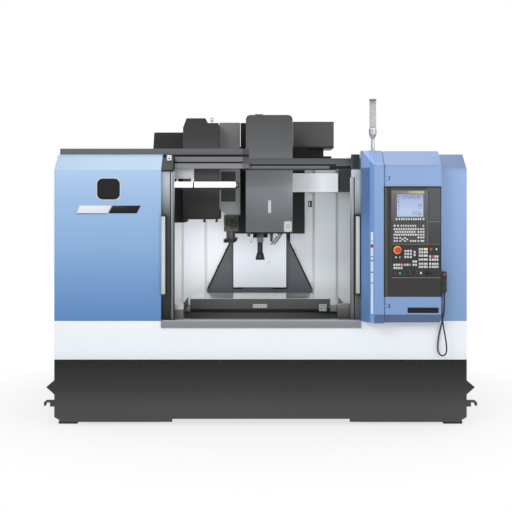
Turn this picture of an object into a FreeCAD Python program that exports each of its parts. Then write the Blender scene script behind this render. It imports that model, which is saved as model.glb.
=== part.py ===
import FreeCAD, Part
import math
import os
import re

import Sketcher
from FreeCAD import Placement, Rotation, Vector

# A vertical machining centre in millimetres. X runs to the right, Y to the rear and Z up. The
# origin is on the floor, in the middle of the four foundation bolts; the spindle is on X = 0.
# A size that ends in a side, such as _left or _front, is the distance from the origin to it.
SIZES = {
    # cabin shell
    "wide": 3300, "front_reach": 1100, "rear_reach": 700, "panel": 30, "gap": 0.4,
    "skirt_low": 25, "skirt_top": 525, "band_top": 833, "cabin_top": 2174,
    "chamfer_low": 2043, "chamfer_back": 160, "door_left": 796, "door_right": 804,
    "skirt_rise": 25, "skirt_arch": 1600, "corner_cut": 40,
    "wedge_low": 245, "wedge_middle": 298, "wedge_high": 350, "wedge_reach": 62,
    "wedge_front": 900, "wedge_rear": 600, "hook_low": 120, "hook_high": 195,
    "hook_throat": 184, "hook_tip": 150, "hook_neck": 28, "hook_inner": 74,
    "hook_reach": 85, "hook_long": 60, "hook_front": 700, "hook_rear": 300,
    "sill_tall": 54, "sill_long": 150, "sill_lip": 12, "sill_rise": 2,
    # feet and frame
    "foot_x": 1550, "foot_y": 990, "bolt_y": 850, "bolt_hole": 12, "bolt_inset": 60,
    "pad_long": 260, "pad_wide": 150, "pad_thick": 20, "stem_radius": 30, "frame_low": 60,
    "frame_top": 140, "frame_bar": 120, "frame_rear": 1050, "cross_x": 500,
    # bed, column and their ways
    "bed_wide": 1300, "bed_waist": 860, "bed_shoulder": 380, "bed_slope": 60, "bed_top": 560,
    "bed_front": 1040, "bed_rear": 1050, "way_x": 300, "way_wide": 60, "way_tall": 40,
    "way_inset": 60, "way_stop": 10, "column_wide": 900, "column_face": 360,
    "column_rear": 1000, "column_top": 2315, "arch_wide": 760, "arch_top": 775,
    "arch_deep": 290, "head_way_x": 190, "head_way_thick": 60, "head_way_low": 1000,
    # guards of the work space
    "foot_plate_wide": 560, "foot_plate_low": 800, "foot_plate_top": 966,
    "foot_plate_thick": 50, "foot_rise_top": 991, "foot_rise_left": 170,
    "foot_rise_right": 120, "foot_rise_slope": 22, "gusset_foot": 500, "gusset_inner": 256,
    "gusset_top": 1400, "gusset_head": 35, "gusset_low": 900, "gusset_thick": 24,
    "strip_wide": 20, "strip_top": 1800, "guard_thick": 15, "guard_low": 780,
    "guard_top": 2100, "guard_side": 1290, "guard_front": 810, "fold_pitch": 220,
    "fold_lean": 26, "fold_deep": 24, "slope_inner": 720, "slope_low": 530,
    "slope_high": 580, "slope_drop": 100, "slope_lip": 20, "shelf_inner": 630,
    "shelf_nose": 690, "shelf_top": 954, "shelf_nose_top": 945, "shelf_low": 760,
    "shelf_long": 100, "cover_half": 250, "way_cover_thick": 12, "way_cover_low": 985,
    "way_cover_top": 1325,
    # saddle, table and way covers
    "work_y": 280, "saddle_wide": 1100, "saddle_long": 400, "saddle_top": 760,
    "saddle_flange": 60, "x_way_y": 130, "plate_wide": 1350, "plate_low": 700,
    "plate_thick": 20, "table_wide": 1200, "table_long": 540, "table_top": 960,
    "table_thick": 120, "table_edge": 30, "table_lean": 40, "table_clear": 2,
    "slot_pitch": 100, "slot_wide": 18, "slot_deep": 30, "slot_tee": 30,
    "slot_tee_tall": 12, "trough_left": 60, "trough_right": 120, "trough_tall": 75,
    "trough_drop": 40, "trough_wall": 6, "trough_inset": 10, "leaf_wide": 720,
    "leaf_long": 310, "leaf_sheet": 4, "leaf_step": 12, "leaf_top": 690,
    "leaf_clear": 8, "leaf_rear": 150,
    # head and spindle
    "travel_up": 220, "cover_left": 124, "cover_right": 280, "cover_front": 500,
    "cover_rear": 100, "cover_low": 1528, "cover_top": 2540, "cover_sheet": 6,
    "cover_corner": 35, "lid_left": 45, "lid_right": 23, "lid_inset": 30, "lid_long": 60,
    "lid_tall": 9, "casting_low": 1560, "casting_top": 2200, "casting_front": 420,
    "casting_wide": 236, "casting_neck": 1700, "neck_rise": 60, "slide_rim": 12,
    "slide_thick": 40, "motor_radius": 105, "motor_tall": 300, "apron_thick": 6.6,
    "back_left": 291, "back_right": 422, "back_low": 1495, "back_foot": 1640,
    "back_bend": 20, "back_shoulder": 2100, "back_slope": 100, "back_top": 2535,
    "back_upper_left": 181, "back_upper_right": 270, "back_thick": 30,
    "nose_radius": 90, "nose_tip_radius": 70, "nose_low": 1475, "nose_step": 20,
    "nose_drop": 6, "jet_left": 112, "jet_right": 78, "jet_front": 350, "jet_rear": 310,
    "jet_low": 1485, "nozzle_x": 98, "nozzle_y": 340, "nozzle_low": 1442,
    "far_nozzle_x": 104, "far_nozzle_y": 300, "far_nozzle_low": 1452, "nozzle_radius": 9,
    "collar_radius": 14, "collar_low": 1498, "shaft_radius": 44, "key_x": 36,
    "key_wide": 12, "key_long": 16, "key_gap": 0.5, "flange_radius": 31.5,
    "flange_top": 1468, "flange_tall": 28, "taper_radius": 26, "groove_deep": 5,
    "groove_tall": 8, "shank_radius": 24, "shank_low": 1320, "shank_flare": 8,
    "flare_tall": 12, "flare_slope": 8, "mill_radius": 40, "mill_low": 1278,
    "mill_rim": 14, "mill_dish": 6, "mill_teeth": 6, "tooth_deep": 11, "tooth_wide": 12,
    # tool changer
    "arm_x": 260, "arm_wide": 60, "arm_end": 55, "jaw_radius": 33.5, "jaw_slack": 8,
    "ram_radius": 40, "ram_top": 1800, "box_right": 175, "box_half": 85, "box_low": 1672,
    "box_top": 2070, "box_slope": 60, "hood_left": 318, "hood_right": 190, "hood_half": 65,
    "hood_low": 1530, "pane_left": 343, "pane_right": 215, "pane_low": 1791,
    "pane_high": 2056, "pane_deep": 10, "mag_left": 657, "mag_right": 357,
    "mag_front": 620, "mag_rear": 60, "mag_low": 1640, "mag_top": 2500, "mag_sheet": 12,
    "mag_slope": 40, "mag_step": 90, "mag_step_run": 20, "mag_lean": 30, "tail_left": 900,
    "tail_low": 1611, "tail_top": 2010, "tail_front": 560, "tool_slot_edge": 24,
    "tool_slot_half": 60, "bracket_left": 557, "bracket_low": 2110, "bracket_high": 2250,
    "disc_z": 2060, "disc_radius": 265, "disc_left": 500, "disc_thick": 60, "pots": 16,
    "pot_ring": 235, "pot_radius": 36, "pot_long": 110,
    # doors and their rails
    "door_thick": 40, "left_door_plane": 1065, "right_door_plane": 1000, "door_low": 836,
    "left_door_top": 2030, "right_door_top": 1985, "left_door_edge": 700,
    "right_door_edge": 737, "door_back": 1600, "stile": 130, "window_low": 1150,
    "window_top": 1900, "glass": 12, "glass_inset": 14, "seal": 8, "seal_inset": 10,
    "handle_wide": 30, "handle_thick": 18, "handle_low": 1030, "handle_top": 1690,
    "handle_mount": 45, "handle_inset": 3, "handle_stand": 42, "handle_left": 76,
    "handle_right": 46, "backing_wide": 50, "backing_thick": 4, "hanger_wide": 100,
    "hanger_thick": 20, "hanger_inset": 120, "right_hanger_drop": 20,
    "rail_tall": 40, "rail_deep": 40, "left_rail_end": 90, "right_rail_end": 55,
    "beam_low": 2060, "beam_front": 920, "beam_rear": 860, "groove_low": 2082,
    "groove_high": 2096, "lip_left": 146, "lip_right": 620, "lip_low": 2046,
    "lip_inset": 4, "lip_deep": 16, "band_left": 1636, "band_right": 93, "band_tall": 48,
    "band_deep": 60, "band_inset": 20, "cap_right": 706, "cap_low": 2036,
    "cap_front": 1095, "cap_rear": 965, "cap_drop": 4, "post_left": 741,
    "post_right": 806, "post_front": 1000, "post_low": 2056, "post_drop": 2,
    # operator side
    "pillar_front": 1250, "pillar_left": 808, "pillar_facet_x": 868, "pillar_facet_y": 1215,
    "pillar_front_x": 892, "pillar_right": 968, "pillar_rear": 1015, "pillar_top": 2195,
    "pillar_crease": 2074, "pillar_slope": 140, "console_left": 972, "console_right": 1417,
    "console_low": 903, "console_foot": 833, "console_rear": 1105, "console_axis": 18,
    "console_drop": 4, "console_slope": 60, "console_bevel": 8, "face_low": 1040,
    "face_top": 1900, "face_deep": 12, "face_left_rim": 12, "face_right_rim": 4,
    "hinge_low": 960, "hinge_high": 1960, "hinge_tall": 20, "hinge_half": 12,
    "hinge_room": 24, "hinge_clear": 5, "hinge_pin": 7, "hinge_reach": 30,
    "screen_left": 1023, "screen_right": 1311, "screen_low": 1633, "screen_top": 1876,
    "screen_proud": 8, "screen_deep": 3, "glass_left": 1068, "glass_right": 1275,
    "glass_low": 1669, "glass_top": 1845, "keys_left": 1035, "keys_right": 1296,
    "keys_low": 1467, "keys_top": 1615, "plate_proud": 3, "lower_right": 1410,
    "lower_low": 1191, "lower_top": 1449, "button_travel": 4, "button_proud": 8,
    "bore_slack": 0.5, "stop_x": 1073, "stop_z": 1408, "stop_radius": 20, "stop_rim": 4,
    "stop_proud": 34, "stop_tall": 14, "start_x": 1091, "hold_x": 1057, "press_z": 1226,
    "press_radius": 9, "feed_x": 1158, "speed_x": 1206, "dial_z": 1230, "dial_radius": 16,
    "grip_half": 4, "grip_proud": 22, "lock_x": 1310, "lock_radius": 12,
    "blade_half": 1.5, "blade_tall": 18, "blade_proud": 34,
    # pendant
    "pendant_left": 1420, "pendant_right": 1476, "pendant_front": 1172,
    "pendant_back": 1124, "pendant_low": 1070, "pendant_top": 1233, "pendant_corner": 8,
    "pendant_chamfer": 6, "pendant_taper": 4, "holder_back": 1112, "holder_side": 1160,
    "holder_low": 1090, "holder_top": 1215, "gland_x": 1438, "gland_y": 1148,
    "gland_low": 1048, "return_x": 1464, "return_y": 1136, "return_low": 1060,
    "gland_radius": 11, "pendant_stop_x": 1456, "pendant_stop_z": 1212, "wheel_x": 1448,
    "wheel_z": 1112, "wheel_radius": 19, "axis_x": 1434, "step_x": 1462, "knob_z": 1180,
    "knob_radius": 8, "knob_proud": 16, "pin_radius": 5, "pin_deep": 9,
    "press_bore": 10, "press_proud": 10, "press_deep": 5, "cord_radius": 6,
    # signal lamp
    "lamp_x": 903, "lamp_y": 1060, "post_foot": 24, "post_foot_tall": 6, "post_taper": 12,
    "post_radius": 14, "post_tall": 99, "cup_rise": 36, "cup_middle": 30, "cup_tall": 70,
    "cup_radius": 32, "lamp_radius": 29, "lamp_edge": 236, "lamp_crown": 22,
    "lamp_dome": 244, "lamp_tall": 248,
    # fittings of the cabin
    "tube_y": 860, "tube_z": 1926, "tube_radius": 27, "tube_left": 714, "tube_right": 189,
    "tube_plate_left": 705, "tube_plate_right": 545, "tube_plate_low": 1978,
    "tube_plate_front": 905, "tube_plate_thick": 8, "clip_left": 690, "clip_right": 570,
    "clip_wide": 14, "clip_front": 900, "clip_rear": 878, "clip_low": 1916,
    "clip_top": 1996, "roof_box_left": 938, "roof_box_right": 674, "roof_box_lean": 13,
    "roof_box_tall": 222, "roof_box_front": 400, "tower_right": 178, "tower_front": 360,
    "tower_rear": 200, "tower_tall": 415, "crate_left": 323, "crate_right": 717,
    "crate_front": 500, "crate_rear": 900, "crate_tall": 256, "neck_right": 622,
    "neck_front": 560, "neck_rear": 860, "neck_drop": 105, "neck_foot": 700,
    "neck_foot_tall": 30, "tray_left": 290, "tray_right": 730, "tray_low": 1885,
    "tray_top": 2060, "tray_front": 180, "tray_thick": 35, "tray_body_left": 435,
    "tray_body_right": 715, "ledge_right": 695, "ledge_deep": 8, "ledge_low": 1892,
    "ledge_top": 1922, "side_box_left": 750, "side_box_right": 870,
    "side_box_front": 215, "side_box_low": 1887,
    # electrical cabinet
    "cabinet_gap": 20, "cabinet_right": 1560, "cabinet_top": 2080, "cabinet_rim": 20,
    "cabinet_door_low": 200, "cabinet_door_top": 2040, "cabinet_door_thick": 25,
    "knuckle_low": 400, "knuckle_high": 1780, "knuckle_tall": 60, "knuckle_radius": 8,
    "knuckle_room": 12, "latch_inset": 30, "latch_wide": 30, "latch_low": 1050,
    "latch_top": 1200, "latch_deep": 22, "switch_inset": 110, "switch_z": 1500,
    "switch_radius": 40, "switch_deep": 14,
}

FRONT, LEFT, RIGHT = "-front_reach", "-wide / 2", "wide / 2"
TABLE_LOW = "(table_top - table_thick)"
TURNS = {
    "X": Rotation(Vector(0, 1, 0), 90),
    "Y": Rotation(Vector(1, 0, 0), -90),
    "Z": Rotation(),
}

doc = FreeCAD.newDocument("machining_center")
sheet = doc.addObject("Spreadsheet::Sheet", "Size")
for row, (name, size) in enumerate(SIZES.items(), start=1):
    sheet.set(f"A{row}", name)
    sheet.set(f"B{row}", str(size))
    sheet.setAlias(f"B{row}", name)
doc.recompute()
nodes = []


def cells(text):
    """The text with each named size written as a reference to its cell."""
    return re.sub(r"[a-z_]+", lambda m: f"Size.{m[0]}" if m[0] in SIZES else m[0], str(text))


def value(text):
    """What an expression of named sizes comes to."""
    return float(sheet.evalExpression(str(text)))


def span(*ends):
    """Two ends of a stretch, the lower one first."""
    return tuple(sorted(ends, key=value))


def bind(thing, **sizes):
    for name, text in sizes.items():
        thing.setExpression(name.replace("_", "."), cells(text))
    return thing


def place(thing, x, y, z, turn=None):
    thing.Placement = Placement(Vector(), turn or Rotation())
    return bind(thing, Placement_Base_x=x, Placement_Base_y=y, Placement_Base_z=z)


def box(x, y, z):
    """A block between a low and a high value on each axis."""
    block = doc.addObject("Part::Box", "Block")
    spans = [f"({high}) - ({low})" for low, high in (x, y, z)]
    bind(block, Length=spans[0], Width=spans[1], Height=spans[2])
    return place(block, x[0], y[0], z[0])


def rod(axis, at, radius, start, end):
    """A cylinder along an axis; at holds its place on the other two axes, in order."""
    round_bar = doc.addObject("Part::Cylinder", "Rod")
    bind(round_bar, Radius=radius, Height=f"({end}) - ({start})")
    spot = {"X": (start, *at), "Y": (at[0], start, at[1]), "Z": (*at, start)}[axis]
    return place(round_bar, *spot, TURNS[axis])


def join(*solids):
    whole = doc.addObject("Part::MultiFuse", "Joined")
    whole.Shapes = list(solids)
    whole.Refine = True
    return whole


def cut(base, *tools):
    rest = doc.addObject("Part::Cut", "Cut")
    rest.Base = base
    rest.Tool = tools[0] if len(tools) == 1 else join(*tools)
    rest.Refine = True
    return rest


def origin_part(body, role):
    """A plane or an axis of a body's own origin."""
    return next(f for f in body.Origin.OriginFeatures if f.Role == role)


def outline(sketch, points):
    """A closed straight outline with every corner bound to the sizes."""
    corners = [Vector(value(u), value(v), 0) for u, v in points]
    for start, end in zip(corners, corners[1:] + corners[:1]):
        sketch.addGeometry(Part.LineSegment(start, end))
    for n in range(len(points)):
        after = (n + 1) % len(points)
        sketch.addConstraint(Sketcher.Constraint("Coincident", n, 2, after, 1))
    for n, corner in enumerate(points):
        for kind, text in zip(("DistanceX", "DistanceY"), corner):
            rule = Sketcher.Constraint(kind, -1, 1, n, 1, value(text))
            index = sketch.addConstraint(rule)
            sketch.setExpression(f"Constraints[{index}]", cells(text))


def sketch_on(body, plane, points, name="Outline"):
    sketch = body.newObject("Sketcher::SketchObject", name)
    sketch.AttachmentSupport = [(origin_part(body, plane + "_Plane"), "")]
    sketch.MapMode = "FlatFace"
    outline(sketch, points)
    return sketch


def prism(plane, points, near, far):
    """A padded outline on XY, XZ or YZ, from near to far along the third axis."""
    body = doc.addObject("PartDesign::Body", "Body")
    sketch = sketch_on(body, plane, points)
    pad = body.newObject("PartDesign::Pad", "Pad")
    pad.Profile = sketch
    pad.Reversed = plane == "XZ"
    shift = f"-({near})" if plane == "XZ" else near
    sketch.setExpression("AttachmentOffset.Base.z", cells(shift))
    bind(pad, Length=f"({far}) - ({near})")
    return body


def turned(points, x, y):
    """A turned piece: its half outline (radius, height) revolved about a vertical axis."""
    body = doc.addObject("PartDesign::Body", "Turned")
    sketch = sketch_on(body, "XZ", points, "Half")
    whole = body.newObject("PartDesign::Revolution", "Revolution")
    whole.Profile = sketch
    whole.ReferenceAxis = (sketch, ["V_Axis"])
    whole.Angle = 360
    return place(body, x, y, 0)


def node(label, thing):
    thing.Label = label
    nodes.append(thing)
    return thing


def both(make, *rest):
    """A piece made on the left and on the right."""
    return [make(side, *rest) for side in (-1, 1)]


# ---------------------------------------------------------------- base: feet, frame and skirt
def levelling_foot(side, end):
    """A pad with its foundation bolt hole, and the screw that carries the frame."""
    near = "(bolt_y - bolt_inset)"
    x = f"{side} * foot_x"
    pad = box((f"{x} - pad_wide / 2", f"{x} + pad_wide / 2"),
              span(f"{end} * {near}", f"{end} * ({near} + pad_long)"), (0, "pad_thick"))
    hole = rod("Z", (x, f"{end} * bolt_y"), "bolt_hole", -1, "pad_thick + 1")
    stem = rod("Z", (x, f"{end} * foot_y"), "stem_radius", "pad_thick - 1", "frame_low")
    return join(cut(pad, hole), stem)


node("levelling_feet", join(*both(levelling_foot, -1), *both(levelling_foot, 1)))

inner_half = "(wide / 2 - panel)"
frame_outer = box((f"-{inner_half}", inner_half), (f"{FRONT} + panel", "frame_rear"),
                  ("frame_low", "frame_top"))
frame_hollow = box(
    (f"-{inner_half} + frame_bar", f"{inner_half} - frame_bar"),
    (f"{FRONT} + panel + frame_bar", "frame_rear - frame_bar"),
    ("frame_low - 1", "frame_top + 1"),
)


def frame_rib(side):
    x = f"{side} * cross_x"
    return box((f"{x} - frame_bar / 2", f"{x} + frame_bar / 2"),
               (f"{FRONT} + panel + frame_bar / 2", "frame_rear - frame_bar / 2"),
               ("frame_low", "frame_top"))


base_frame = join(cut(frame_outer, frame_hollow), *both(frame_rib))


def surround(low, high):
    """The walls round the front and both sides, as a U in plan."""
    return prism("XY", [
        (LEFT, FRONT), (RIGHT, FRONT), (RIGHT, "rear_reach"), (inner_half, "rear_reach"),
        (inner_half, f"{FRONT} + panel"), (f"-{inner_half}", f"{FRONT} + panel"),
        (f"-{inner_half}", "rear_reach"), (LEFT, "rear_reach"),
    ], low, high)


def rear_wall(side, inner, low, high):
    """The wall that closes a surround at the rear, beside the bed or the column."""
    x = span(f"{side} * {inner} / 2", f"{side} * (wide / 2 - panel / 2)")
    return box(x, ("rear_reach - panel", "rear_reach"), (low, high))


def skirt_corner(side):
    """The stepped corner cut off the foot of the skirt."""
    edge = f"{side} * (wide / 2 + 1)"
    return prism("XZ", [
        (edge, "skirt_low - 1"), (f"{side} * (wide / 2 - corner_cut * 1.6)", "skirt_low - 1"),
        (f"{side} * (wide / 2 - corner_cut * 0.8)", "skirt_low + corner_cut / 2"),
        (edge, "skirt_low + corner_cut"),
    ], f"{FRONT} - 1", "rear_reach + 1")


def side_wedge(side):
    """A wedge rail along the side of the skirt."""
    face = f"{side} * wide / 2"
    return prism("XZ", [(face, "wedge_low"), (f"{face} + {side} * wedge_reach", "wedge_middle"),
                        (face, "wedge_high")], "-wedge_front", "wedge_rear")


def hooks(side):
    """The two lifting hooks on a side of the skirt."""
    face = f"{side} * wide / 2"
    neck, inner, reach = [f"{face} + {side} * hook_{part}" for part in ("neck", "inner", "reach")]
    shape = [(face, "hook_low"), (neck, "hook_low"), (neck, "hook_throat"),
             (inner, "hook_throat"), (inner, "hook_tip"), (reach, "hook_tip"),
             (reach, "hook_high"), (face, "hook_high")]
    return join(*[prism("XZ", shape, y, f"{y} + hook_long") for y in ("-hook_front", "hook_rear")])


arch = box(("-skirt_arch / 2", "skirt_arch / 2"), (f"{FRONT} - 1", f"{FRONT} + panel + 1"),
           ("skirt_low - 1", "skirt_low + skirt_rise"))
node("base_skirt", join(
    cut(surround("skirt_low", "skirt_top"), arch, *both(skirt_corner)),
    *both(side_wedge), *both(hooks), *both(rear_wall, "bed_wide", "frame_top", "skirt_top"),
))
node("front_apron", join(surround("skirt_top", "band_top"),
                         *both(rear_wall, "column_wide", "skirt_top", "band_top")))

# ---------------------------------------------------------------- bed and column
bed_block = prism("XZ", [
    ("-bed_wide / 2", "frame_top"), ("bed_wide / 2", "frame_top"),
    ("bed_wide / 2", "bed_shoulder"), ("bed_waist / 2", "bed_shoulder + bed_slope"),
    ("bed_waist / 2", "bed_top"), ("-bed_waist / 2", "bed_top"),
    ("-bed_waist / 2", "bed_shoulder + bed_slope"), ("-bed_wide / 2", "bed_shoulder"),
], "-bed_front", "bed_rear")


def y_way(side):
    x = f"{side} * way_x"
    return box((f"{x} - way_wide / 2", f"{x} + way_wide / 2"),
               ("-bed_front + way_inset", "column_face - way_stop"),
               ("bed_top", "bed_top + way_tall"))


def z_way(side):
    x = f"{side} * head_way_x"
    return box((f"{x} - way_wide / 2", f"{x} + way_wide / 2"),
               ("column_face - head_way_thick", "column_face"), ("head_way_low", "column_top"))


node("bed", join(base_frame, bed_block, *both(y_way)))
column_block = box(("-column_wide / 2", "column_wide / 2"), ("column_face", "column_rear"),
                   ("bed_top", "column_top"))
column_arch = box(("-arch_wide / 2", "arch_wide / 2"),
                  ("column_face - 1", "column_face + arch_deep"), ("bed_top", "arch_top"))
node("column", join(cut(column_block, column_arch), *both(z_way)))

# ---------------------------------------------------------------- guards of the work space
foot_plate = prism("XZ", [
    ("-foot_plate_wide / 2", "foot_plate_low"), ("foot_plate_wide / 2", "foot_plate_low"),
    ("foot_plate_wide / 2", "foot_plate_top"), ("foot_rise_right", "foot_plate_top"),
    ("foot_rise_right - foot_rise_slope", "foot_rise_top"),
    ("-foot_rise_left + foot_rise_slope", "foot_rise_top"),
    ("-foot_rise_left", "foot_plate_top"), ("-foot_plate_wide / 2", "foot_plate_top"),
], "column_face - foot_plate_thick", "column_face")
guard_face = "(column_face - guard_thick)"
fold_face = f"({guard_face} - fold_deep)"


def gusset(side):
    """A sloped brace beside the column, with the narrow strip that runs on up from it."""
    foot, inner = f"{side} * gusset_foot", f"{side} * gusset_inner"
    root = f"{side} * foot_plate_wide / 2"
    depth = (f"{guard_face} - gusset_thick", guard_face)
    brace = prism("XZ", [
        (foot, "gusset_low"), (root, "gusset_low"), (root, "foot_plate_top"),
        (inner, "foot_plate_top"), (inner, "gusset_top"),
        (f"{inner} + {side} * gusset_head", "gusset_top"), (foot, "foot_plate_top"),
    ], *depth)
    strip = box(span(inner, f"{inner} + {side} * strip_wide"), depth,
                ("gusset_top - 1", "strip_top"))
    return join(brace, strip)


node("column_guards", join(foot_plate, *both(gusset)))
node("column_cover", box(("-cover_half", "cover_half"),
                         ("column_face - head_way_thick - way_cover_thick",
                          "column_face - head_way_thick"),
                         ("way_cover_low", "way_cover_top")))


def back_guard(side):
    """The folded sheet that closes the work space beside the column."""
    start = f"{side} * (foot_plate_wide / 2)"
    fold, after = f"{start} + {side} * fold_pitch", f"{start} + {side} * 2 * fold_pitch"
    lean = f"{side} * fold_lean"
    return prism("XY", [
        (start, guard_face), (fold, guard_face), (f"{fold} + {lean}", fold_face),
        (after, fold_face), (f"{after} + {lean}", guard_face),
        (f"{side} * guard_side", guard_face), (f"{side} * guard_side", "column_face"),
        (start, "column_face"),
    ], "guard_low", "guard_top")


def side_guard(side):
    """The inner side sheet, with the chip slope under it."""
    edge = f"{side} * guard_side"
    upright = box(span(edge, f"{side} * (guard_side + guard_thick)"),
                  ("-guard_front", "column_face"), ("guard_low - slope_drop", "guard_top"))
    slope = prism("XZ", [
        (edge, "guard_low - slope_drop"), (edge, "guard_low - slope_lip"),
        (f"{side} * slope_inner", "slope_high"), (f"{side} * slope_inner", "slope_low"),
    ], "-guard_front", "column_face")
    return join(upright, slope)


def front_shelf(side):
    """The box ledge inside the door opening."""
    inner, outer = f"{side} * shelf_inner", f"{side} * guard_side"
    return prism("XZ", [
        (inner, "shelf_low"), (inner, "shelf_nose_top"), (f"{side} * shelf_nose", "shelf_top"),
        (outer, "shelf_top"), (outer, "shelf_low"),
    ], f"{FRONT} + sill_long", f"{FRONT} + sill_long + shelf_long")


node("inner_guards", join(*both(back_guard), *both(side_guard), *both(front_shelf)))

# ---------------------------------------------------------------- saddle, table, way covers
saddle_front = "(-work_y - saddle_long / 2)"
saddle_rear = "(-work_y + saddle_long / 2)"
saddle_block = prism("XZ", [
    ("-bed_waist / 2", "bed_top + way_tall + gap"), ("bed_waist / 2", "bed_top + way_tall + gap"),
    ("saddle_wide / 2", "saddle_top - saddle_flange"), ("saddle_wide / 2", "saddle_top"),
    ("-saddle_wide / 2", "saddle_top"), ("-saddle_wide / 2", "saddle_top - saddle_flange"),
], saddle_front, saddle_rear)
saddle_plate = box(("-plate_wide / 2", "plate_wide / 2"),
                   (f"{saddle_front} - plate_thick", saddle_front),
                   ("plate_low", f"{TABLE_LOW} - table_clear"))


def x_way(side):
    y = f"-work_y + {side} * x_way_y"
    return box(("-saddle_wide / 2", "saddle_wide / 2"),
               (f"{y} - way_wide / 2", f"{y} + way_wide / 2"),
               ("saddle_top", f"{TABLE_LOW} - gap"))


node("saddle", join(saddle_block, saddle_plate, *both(x_way)))

table_front = "(-work_y - table_long / 2)"
table_rear = "(-work_y + table_long / 2)"
table_block = prism("YZ", [
    (table_front, f"{TABLE_LOW} + table_edge"), (f"{table_front} + table_lean", TABLE_LOW),
    (f"{table_rear} - table_lean", TABLE_LOW), (table_rear, f"{TABLE_LOW} + table_edge"),
    (table_rear, "table_top"), (table_front, "table_top"),
], "-table_wide / 2", "table_wide / 2")
slot_floor = "(table_top - slot_deep)"
slots = []
for n in range(-2, 3):
    middle = f"-work_y + {n} * slot_pitch"
    for wide, high in (("slot_wide", "table_top + 1"),
                       ("slot_tee", f"{slot_floor} + slot_tee_tall")):
        slots.append(box(("-table_wide / 2 - 1", "table_wide / 2 + 1"),
                         (f"{middle} - {wide} / 2", f"{middle} + {wide} / 2"),
                         (slot_floor, high)))
node("table", cut(table_block, *slots))


def trough(side, reach):
    """The coolant trough at an end of the table, an L-shaped channel."""
    start = f"{side} * table_wide / 2"
    end = f"{start} + {side} * {reach}"
    lip = f"{end} - {side} * trough_wall"
    top = "(table_top - trough_drop)"
    floor = f"({top} - trough_tall)"
    return prism("XZ", [(start, floor), (end, floor), (end, top), (lip, top),
                        (lip, f"{floor} + trough_wall"), (start, f"{floor} + trough_wall")],
                 f"{table_front} + trough_inset", f"{table_rear} - trough_inset")


node("table_troughs", join(trough(-1, "trough_left"), trough(1, "trough_right")))


def leaf(start, level):
    """One leaf of a telescopic way cover: a low bridge of sheet over the ways."""
    top = f"(leaf_top - {level} * leaf_step)"
    half = f"(leaf_wide / 2 - {level} * leaf_step)"
    foot = "bed_top + gap"
    return prism("XZ", [
        (f"-{half}", foot), (f"-{half}", top), (half, top), (half, foot),
        (f"{half} - leaf_sheet", foot), (f"{half} - leaf_sheet", f"{top} - leaf_sheet"),
        (f"-{half} + leaf_sheet", f"{top} - leaf_sheet"), (f"-{half} + leaf_sheet", foot),
    ], start, f"{start} + leaf_long")


fixed_front, fixed_rear = f"({FRONT} + panel + leaf_clear)", "(column_face - leaf_rear)"
moving_front = f"({saddle_front} - leaf_long)"
node("y_cover_front_leaf", leaf(f"(({fixed_front} + {moving_front}) / 2)", 1))
node("y_cover_fixed_leaves", join(leaf(fixed_front, 2), leaf(fixed_rear, 2)))
node("y_cover_rear_leaf", leaf(f"(({fixed_rear} + {saddle_rear}) / 2)", 1))
node("saddle_covers", join(leaf(moving_front, 0), leaf(saddle_rear, 0)))

# ---------------------------------------------------------------- head and spindle
head_back = "(column_face - head_way_thick - gap)"
slide_front = f"({head_back} - slide_thick)"
casting = prism("YZ", [
    ("-casting_front", "casting_low"), ("-casting_front", "casting_top"), ("0", "casting_top"),
    (head_back, "casting_top + neck_rise"), (head_back, "casting_neck - neck_rise"),
    ("neck_rise", "casting_neck"), ("-work_y + motor_radius", "casting_low"),
], "-cover_left + cover_sheet", "-cover_left + cover_sheet + casting_wide")
slide_half = "(head_way_x + way_wide / 2 + slide_rim)"
head_slide = box((f"-{slide_half}", slide_half), (slide_front, head_back),
                 ("casting_neck - neck_rise", "casting_top + neck_rise"))
back_plate = prism("XZ", [
    ("-back_left", "back_low"), ("back_right", "back_low"), ("back_right", "back_shoulder"),
    ("back_upper_right", "back_shoulder + back_slope"), ("back_upper_right", "back_top"),
    ("-back_upper_left", "back_top"), ("-back_upper_left", "back_foot + back_bend"),
    ("-back_left", "back_foot"),
], f"{slide_front} - back_thick", slide_front)
motor = rod("Z", (0, "-work_y"), "motor_radius", "casting_top - 1", "casting_top + motor_tall")
node("head_casting", join(casting, head_slide, back_plate, motor))
apron_back = "(column_face - head_way_thick - way_cover_thick - gap)"
node("head_apron", box(("-cover_half", "cover_half"),
                       (f"{apron_back} - apron_thick", apron_back),
                       ("way_cover_top - travel_up", "casting_neck - neck_rise")))


def head_outline(inset, low):
    left, right = f"(-cover_left + {inset})", f"(cover_right - {inset})"
    top = f"(cover_top - {inset})"
    bend = "cover_corner * 0.3"
    return [(left, low), (right, low), (right, f"{top} - cover_corner"),
            (f"{right} - {bend}", f"{top} - {bend}"), (f"{right} - cover_corner", top),
            (f"{left} + cover_corner", top), (f"{left} + {bend}", f"{top} - {bend}"),
            (left, f"{top} - cover_corner")]


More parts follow.
